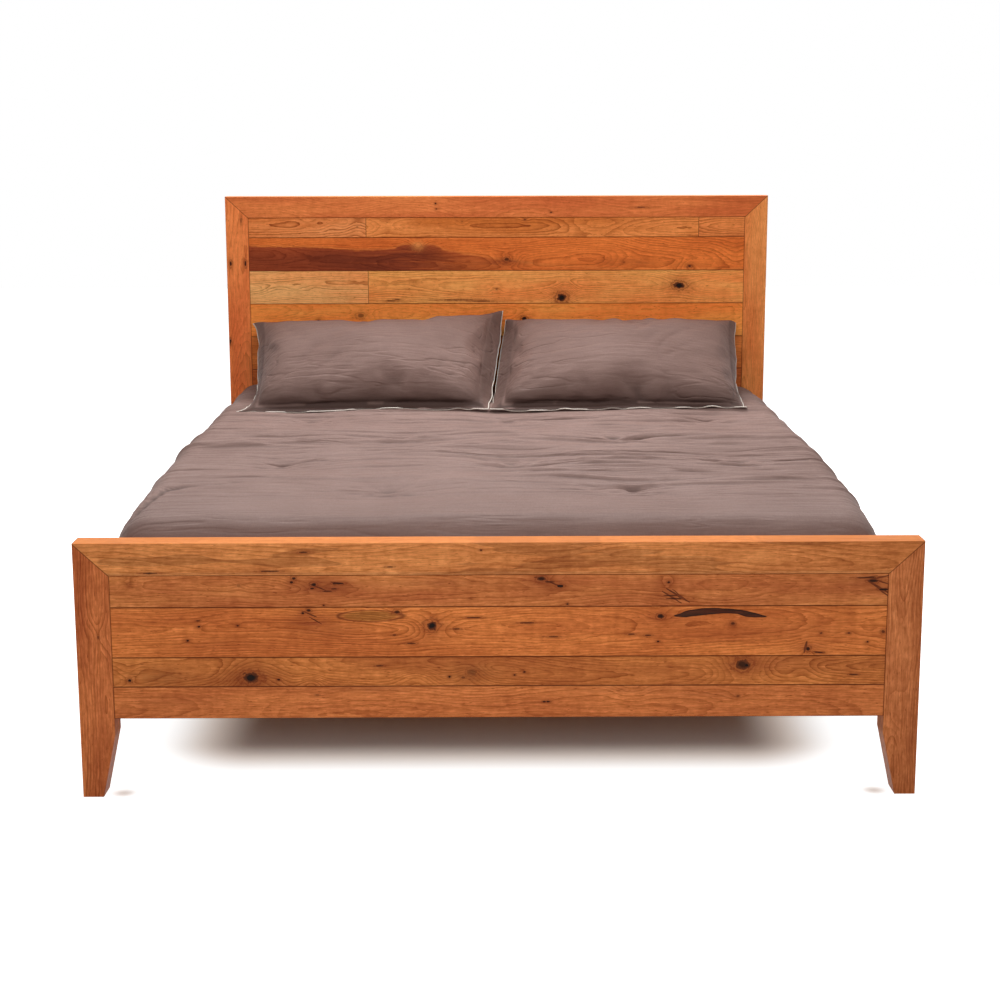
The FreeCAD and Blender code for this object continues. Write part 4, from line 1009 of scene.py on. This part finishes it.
def relax(places, faces, fixed, rounds):
    """Draws every point towards its neighbours, but for the fixed ones."""
    around = {}
    for face in faces:
        for a, b in zip(face, face[1:] + face[:1]):
            around.setdefault(a, set()).add(b)
            around.setdefault(b, set()).add(a)
    for _ in range(rounds):
        moved = [p.copy() for p in places]
        for n, near in around.items():
            if n not in fixed:
                pull = sum((places[m] for m in sorted(near)), Vector())
                moved[n] = places[n] * 0.4 + pull * (0.6 / len(near))
        places = moved
    return places


def crumple(x, y, seed):
    """The small creases of a stuffed sham: slanting ones over its middle, and fans from its corners."""
    turn = 1.0 + 0.6 * wave(x * 1.5, y * 1.5, seed)
    forth, aside = x * math.cos(turn) + y * math.sin(turn), y * math.cos(turn) - x * math.sin(turn)
    line = wave(forth * 2.6, aside * 14, seed + 2)
    crease = max(0.0, 1 - abs(line) * 4.5) ** 1.3
    crease *= max(0.0, 0.25 + 1.6 * wave(x * 3.1, y * 3.1, seed + 5))
    fan = 0.0
    for a in (-1, 1):
        for b in (-1, 1):
            dx, dy = x - a * FILLED, y - b * HALF_HEIGHT
            distance = math.hypot(dx, dy)
            ray = math.cos(15 * math.atan2(dy, dx) + seed)
            fan += math.exp(-distance / 0.12) * min(1.0, distance / 0.04) * ray
    return -0.0055 * crease + 0.0055 * fan + 0.0016 * wave(x * 17, y * 17, seed)


def flange_point(start, u, v, out, seed, side):
    """A place on the flat border: it leans back at the top and sides and spreads at the lower corners."""
    low, high = max(0.0, -v), max(0.0, v)
    outer = u * side > 0
    spread = 1.15 if side < 0 else 0.1
    reach = FLANGE * (0.62 + 0.38 * high**4 + spread * low**5) if outer else FLANGE
    x = u * (FILLED + reach * abs(u) ** 2)
    y = v * (HALF_HEIGHT + FLANGE)
    x -= outer * u * abs(u) ** 8 * 0.012 * bell((v + 0.25) / 0.35)
    ragged = 0.005 * wave(x * 21, y * 21, seed) - 0.003
    x += ragged * (abs(u) > 0.999) * u
    y += ragged * (abs(v) > 0.999) * v
    z = 0.010 * wave(x * 8, y * 8, seed + 4) + 0.004 * wave(x * 25, y * 25, seed + 6)
    corner = 1 - (0.35 if outer else 0.75) * high**12
    z -= 0.046 * high**8 * (1 - abs(u) ** 7) + 0.042 * abs(u) ** 8 * (1 - low**4) * corner
    if outer and side < 0:
        x += u * 0.012 * abs(u) ** 12 * high**16
    z = z * out**1.5 + start.z * (1 - out)
    return Vector((start.x + (x - start.x) * out, start.y + (y - start.y) * out, z))


def blow_up(item):
    """Runs the cloth on the spot and gives the places of its points at the end."""
    scene = bpy.context.scene
    cloth = item.modifiers.new("cloth", "CLOTH")
    put(
        cloth.settings, quality=6, mass=0.25, tension_stiffness=22, compression_stiffness=22,
        shear_stiffness=8, bending_stiffness=0.25, use_pressure=True,
        uniform_pressure_force=CLOTH_PRESSURE, air_damping=3.0,
    )
    cloth.settings.effector_weights.gravity = 0.0
    cloth.collision_settings.use_collision = False
    put(cloth.point_cache, frame_start=1, frame_end=CLOTH_FRAMES)
    for number in range(1, CLOTH_FRAMES + 1):
        scene.frame_set(number)
    blown = item.evaluated_get(bpy.context.evaluated_depsgraph_get())
    places = [v.co.copy() for v in blown.data.vertices]
    item.modifiers.remove(cloth)
    scene.frame_set(1)
    return places


def piping(name, path, radius):
    """A closed cord along a closed path."""
    points, faces = [], []
    count, sides = len(path), 6
    for n, p in enumerate(path):
        ahead = (path[(n + 1) % count] - path[n - 1]).normalized()
        first = ahead.orthogonal().normalized()
        reference = Vector((0, 0, 1)).cross(ahead)
        if reference.length > 0.2:
            first = reference.normalized()
        second = ahead.cross(first)
        for s in range(sides):
            turn = 2 * math.pi * s / sides
            points.append(p + first * (radius * math.cos(turn)) + second * (radius * math.sin(turn)))
    rings = [list(range(n * sides, (n + 1) * sides)) for n in range(count)]
    for ring, following in zip(rings, rings[1:] + rings[:1]):
        faces += flipped(band(ring, following))
    cord = shape(name, points, faces, PIPING)
    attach(cord, "bed")


def comforter_floor(x, y):
    return crown_z(x) + top_relief(x, y) + 0.002


def pillow_lift():
    """The y and z of a pillow's middle: its upper edge near the headboard, its belly on the bed."""
    bulge = THICK / 2
    radius = (HALF_HEIGHT**2 + bulge**2) / (2 * bulge)
    y = HEADBOARD_FACE - HEADBOARD_GAP - (HALF_HEIGHT + FLANGE) * math.cos(TILT)
    z = SHOULDER_Z + CROWN - 0.005 + radius - (radius - bulge) * math.cos(TILT)
    return y, z


def set_on_bed(places, side, roll):
    """Shears a flat pillow as its ends lean, turns it and stands it on the bed."""
    corner = HALF_HEIGHT + FLANGE
    flare = side * FLARE
    meeting = MEETING_SLANT + 2 * corner * math.tan(math.radians(roll))
    left, right = (flare, meeting) if side < 0 else (meeting, flare)
    turn = Matrix.Rotation(TILT, 4, "X") @ Matrix.Rotation(math.radians(roll), 4, "Z")
    y_middle, z_middle = pillow_lift()
    middle = Vector((side * (REACH + GAP / 2) / 2, y_middle, z_middle))
    result = []
    for p in places:
        share = (p.x + BORDER) / (2 * BORDER)
        slant = (left + share * (right - left)) / (2 * corner)
        result.append(middle + turn @ Vector((p.x + slant * p.y, p.y, p.z)))
    return result


def settle(p, skin=0.0):
    """Keeps a point of a pillow above the comforter."""
    floor = comforter_floor(p.x, p.y) + skin
    if p.z < floor + 0.012:
        ease = max(0.0, (p.z - floor + 0.012) / 0.024)
        p.z = floor + 0.012 * ease**2
    return p


def make_pillow(name):
    side, roll, seed = PILLOWS[name]
    points, shares, front, back, seam = pillow_layers(seed)
    item = shape("pillow_sim", points, front + back)
    places = blow_up(item)
    bpy.data.meshes.remove(item.data)
    thick = max(abs(p.z) for p in places)
    for p, (u, v) in zip(places, shares):
        p.z *= (THICK / 2 - 0.004) / thick * (1 - side * 0.07 * u)
    places = relax(draw_seams_to_form(places, shares), front + back, set(seam), 5)

    # The belly sinks over the lower seam, and the stuffing lets the cover crease.
    for p, (u, v) in zip(places, shares):
        if p.z > 0 and abs(u) < 0.999 and abs(v) < 0.999:
            share = p.z / (THICK / 2)
            p.y -= 0.052 * share * (1 - v) / 2
            p.z += crumple(p.x, p.y, seed) * min(1.0, 1.6 * share)

    # Each layer goes on into its own side of the flange, in loops from the seam out to the edge.
    skin, border = 0.0013, 5
    both = [p.copy() for p in places]
    on_flange = {}
    behind = {}
    for n in seam:
        behind[n] = len(both)
        both.append(places[n] - Vector((0, 0, skin)))
        both[n].z += skin
    faces = list(front) + [[behind.get(n, n) for n in face] for face in back]
    loops = {1: [list(seam)], -1: [[behind[n] for n in seam]]}
    for k in range(1, border + 1):
        for face in (1, -1):
            loop = []
            for n in seam:
                u, v = shares[n]
                p = flange_point(places[n], u, v, k / border, seed, side)
                p.z += face * skin
                on_flange[len(both)] = (n, k / border)
                loop.append(len(both))
                both.append(p)
            loops[face].append(loop)
    for face in (1, -1):
        for inner, outer in zip(loops[face], loops[face][1:]):
            faces += [quad[::face] for quad in band(inner, outer)]
    upper, lower = loops[1][-1], loops[-1][-1]
    faces += band(upper, lower)

    stood = set_on_bed(both, side, roll)
    for p, flat in zip(stood, both):
        raised = 0.024 * max(0.0, (flat.x / BORDER + 0.3) / 1.3) ** 2 if side < 0 else 0.0
        p.z += (raised + 0.021) * max(0.0, flat.y / HALF_HEIGHT + 1) / 2
    for n, (start, out) in on_flange.items():
        v = shares[start][1]
        if v < -0.999:
            p = stood[n]
            lies = comforter_floor(p.x, p.y) + 0.002 + 0.014 * out * max(0.0, wave(p.x * 11, seed) - 0.1)
            drop = min(1.0, out * 2.2) ** 0.7
            p.z = stood[start].z + (lies - stood[start].z) * drop
            p.y = stood[start].y - 0.056 * out
    stood = [settle(p, skin if n in on_flange else 0.0) for n, p in enumerate(stood)]
    pillow = shape(f"bedding_pillow_{name}", stood, faces, SHAM)
    # Painted shade in the fold attribute: in the creases, towards the bottom of the front, on the lower
    # flange and near the seam of the other flanges
    note_folds(pillow.data, 0.0045, 2)
    painted_shade = {n: 1.7 * max(0.0, -shares[n][1] - 0.42) ** 1.35 for n, p in enumerate(places) if p.z > 0}
    for n, (start, out) in on_flange.items():
        v = shares[start][1]
        painted_shade[n] = 1.3 - 0.3 * out if v < -0.999 else (0.75 - 0.25 * max(0.0, v)) * (1 - 0.8 * out)
    for n, depth in painted_shade.items():
        fold = pillow.data.attributes["fold"].data[n]
        fold.value = min(1.0, fold.value + depth)
    fine = pillow.modifiers.new("smooth", "SUBSURF")
    fine.levels = fine.render_levels = 1

    path = []
    for k, (a, b) in enumerate(zip(upper, lower)):
        p = (stood[a] + stood[b]) / 2
        u, v = shares[seam[k]]
        if v > 0.999:
            p.y += 0.0025
        if abs(u) > 0.999 and (v > -0.25 or u * side < 0 < side) or u * side < -0.999 and v > 0.55:
            p += Vector((0.0, math.sin(TILT), -math.cos(TILT))) * 0.006
        if v < -0.999:
            p += Vector((0.0, 0.004, -0.003)) * clamp(4 * wave(p.x * 9, seed, 3.3))
        path.append(p)
    piping(f"bedding_piping_{name}", path, 0.0023)
    soft_piece(pillow, f"pillow_{name}")


# Mattress and box springs
SEAM_LEVELS = (3, 15)


def upholstered(node, name, corner, edge, relief, materials, radius):
    """A stuffed block in the box of its CAD node, with round edges and corded seams."""
    low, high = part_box(node)
    middle = [(a + b) / 2 for a, b in zip(low, high)]
    hx, hy = (high[0] - low[0]) / 2 - edge, (high[1] - low[1]) / 2 - edge
    nx, ny = round(2 * hx / 0.016), round(2 * hy / 0.016)
    inner = corner - edge
    points, faces, slots = [], [], []
    grids = []
    for upper in (True, False):
        grid = {}
        for j in range(ny + 1):
            for i in range(nx + 1):
                x, y = hx * (2 * i / nx - 1), hy * (2 * j / ny - 1)
                dx, dy = abs(x) - (hx - inner), abs(y) - (hy - inner)
                if dx > 0 and dy > 0:
                    pull = max(dx, dy) / math.hypot(dx, dy)
                    x = math.copysign(hx - inner + dx * pull, x)
                    y = math.copysign(hy - inner + dy * pull, y)
                z = high[2] - relief(x, y) if upper else low[2]
                grid[i, j] = len(points)
                points.append(Vector((middle[0] + x, middle[1] + y, z)))
        quads = cells(grid, nx, ny)
        faces += quads if upper else [quad[::-1] for quad in quads]
        slots += [0 if upper else len(materials) - 1] * len(quads)
        grids.append(grid)
    rim = rim_of(nx, ny)
    outward = []
    for i, j in rim:
        p = points[grids[0][i, j]]
        x, y = p.x - middle[0], p.y - middle[1]
        dx, dy = max(0.0, abs(x) - (hx - inner)), max(0.0, abs(y) - (hy - inner))
        if dx + dy == 0:
            dx, dy = (1.0, 0.0) if i in (0, nx) else (0.0, 1.0)
        outward.append(Vector((math.copysign(dx, x), math.copysign(dy, y), 0.0)).normalized())
    loops = [[grids[0][key] for key in rim]]
    height = high[2] - low[2]
    levels, eighth = 10, math.pi / 8
    profile = [(edge * math.sin(eighth * k), edge * (1 - math.cos(eighth * k))) for k in range(1, 5)]
    profile += [(edge, edge + (height - 2 * edge) * k / levels) for k in range(1, levels)]
    profile += [(edge * math.cos(eighth * k), height - edge * (1 - math.sin(eighth * k))) for k in range(4)]
    for out, down in profile:
        loop = []
        for key, normal in zip(rim, outward):
            p = points[grids[0][key]]
            loop.append(len(points))
            points.append(Vector((p.x, p.y, high[2] - down)) + normal * (out - 0.0004))
        loops.append(loop)
    loops.append([grids[1][key] for key in rim])
    for upper, lower in zip(loops, loops[1:]):
        faces += band(upper, lower)
    slots += [min(1, len(materials) - 1)] * (len(faces) - len(slots))
    item = shape(name, points, faces, *materials)
    item.data.polygons.foreach_set("material_index", slots)
    soft_piece(item, node)
    for number, level in enumerate(SEAM_LEVELS):
        piping(f"{name}_cord_{number}", [points[n] for n in loops[level]], radius)


def quilting(x, y):
    """Stitched diamonds, deepest on the stitch lines."""
    across = math.sin((x + y) * math.pi / 0.17) * math.sin((x - y) * math.pi / 0.17)
    return 0.0045 * (1 - min(1.0, abs(across) * 3.0)) ** 2 + 0.0006


def make_mattress_and_springs():
    upholstered(
        "mattress", "mattress_quilted", corner=0.085, edge=0.020, relief=quilting,
        materials=(TICKING,), radius=0.0035,
    )
    for side in ("left", "right"):
        upholstered(
            f"box_spring_{side}", f"box_spring_{side}_covered", corner=0.040, edge=0.010,
            relief=lambda x, y: 0.0006 + 0.0012 * wave(x * 5, y * 5, 2.0) ** 2,
            materials=(BASE_CLOTH, BASE_CLOTH, DUST_CLOTH), radius=0.0025,
        )


dress_headboard()
dress_footboard()
dress_support()
dress_hardware()

make_comforter()
for pillow_name in PILLOWS:
    make_pillow(pillow_name)
make_mattress_and_springs()


# Studio
SKY_LEVEL = 0.30


def seen_directly(tree):
    """1 for what the camera sees, straight or by a mirror, and 0 for what only lights something."""
    path = add(tree, "LightPath")
    rays = [Field(tree, path.outputs[f"Is {kind} Ray"]) for kind in ("Camera", "Glossy", "Transmission")]
    return rays[0].max(rays[1]).max(rays[2])


def make_world():
    """White to look at, and a soft sky to light by."""
    world = bpy.data.worlds.new("studio")
    bpy.context.scene.world = world
    world.use_nodes = True
    tree = world.node_tree
    tree.nodes.clear()
    _, _, up = Field(tree, add(tree, "TexCoord").outputs["Generated"]).split()
    sky = up.step(-0.05, 0.75) * SKY_LEVEL
    seen = seen_directly(tree)
    background = add(tree, "Background", {"Color": (1, 1, 1, 1), "Strength": (1.0 - seen) * sky + seen})
    out = tree.nodes.new("ShaderNodeOutputWorld")
    tree.links.new(background.outputs[0], out.inputs["Surface"])


def make_floor():
    """A pale floor that keeps the shadow near the bed and fades to white away from it; its glow, which the
    camera alone sees, paints a warm tint under the bed and a shadow beside each front foot.
    """
    made, tree, shader, at = material("studio_floor")
    floor = shape("floor", [(-9, -7, 0), (9, -7, 0), (9, 12, 0), (-9, 12, 0)], [(0, 1, 2, 3)], made)
    mottle = at.stretch((3, 3, 3)).noise(2.0)
    x, y, _ = at.split()
    beside = (x.abs() - 0.66).max(0.0)
    before = (y * -1.0 - 0.765).max(y - 1.02).max(0.0)
    away = (beside * beside * 0.55 + before * before) ** 0.5
    # A painted shadow: the small dark patch beside each front foot
    painted_foot_shadow = hump(length((x.abs() - 0.952) / 0.030, (y + 1.078) / 0.022)) * 0.62
    # The glow is white away from the bed; near it a painted fade into the shadow, and under the bed a painted
    # warm glow of light bounced from the wood
    painted_glow = away.step(0.0, 0.25) - painted_foot_shadow
    fill(tree, shader, {
        "Base Color": mix(mottle, (244, 243, 242), (248, 248, 247)),
        "Roughness": 0.9, "Specular IOR Level": 0.0,
        "Emission Color": mix(painted_glow, (54, 24, 8), mix(painted_glow.step(0.2, 0.9), (255, 240, 228), (255, 255, 255))),
        "Emission Strength": seen_directly(tree),
    })


def softbox(name, place, aim, width, height, power):
    lamp = bpy.data.lights.new(name, "AREA")
    put(lamp, shape="RECTANGLE", size=width, size_y=height, energy=power)
    item = link(name, lamp)
    item.location = place
    item.rotation_euler = (Vector(aim) - Vector(place)).to_track_quat("-Z", "Y").to_euler()
    item.visible_camera = False


def make_camera():
    """The photo's camera: 3.4 m in front of the footboard, looking down a little."""
    data = bpy.data.cameras.new("camera")
    put(data, sensor_width=36, lens=51.32, shift_y=-0.14)
    camera = link("camera", data)
    turn = Euler((math.radians(90 - 8.512), 0, math.radians(-0.22))).to_matrix().to_4x4()
    roll = Matrix.Rotation(math.radians(-0.127), 4, "Z")
    camera.matrix_world = Matrix.Translation((-0.0095, -4.4981, 1.6208)) @ turn @ roll
    bpy.context.scene.camera = camera


bpy.context.scene.view_settings.view_transform = "Standard"
make_world()
make_floor()
softbox("behind", (0.0, 2.0, 3.6), (0, -0.2, 0.6), 3.2, 1.3, 108)
softbox("overhead", (0.0, -0.5, 2.8), (0, 1.0, 1.1), 2.8, 0.9, 34)
softbox("front", (0.0, -3.0, 1.4), (0, -1.1, 0.4), 2.8, 0.8, 20)
make_camera()
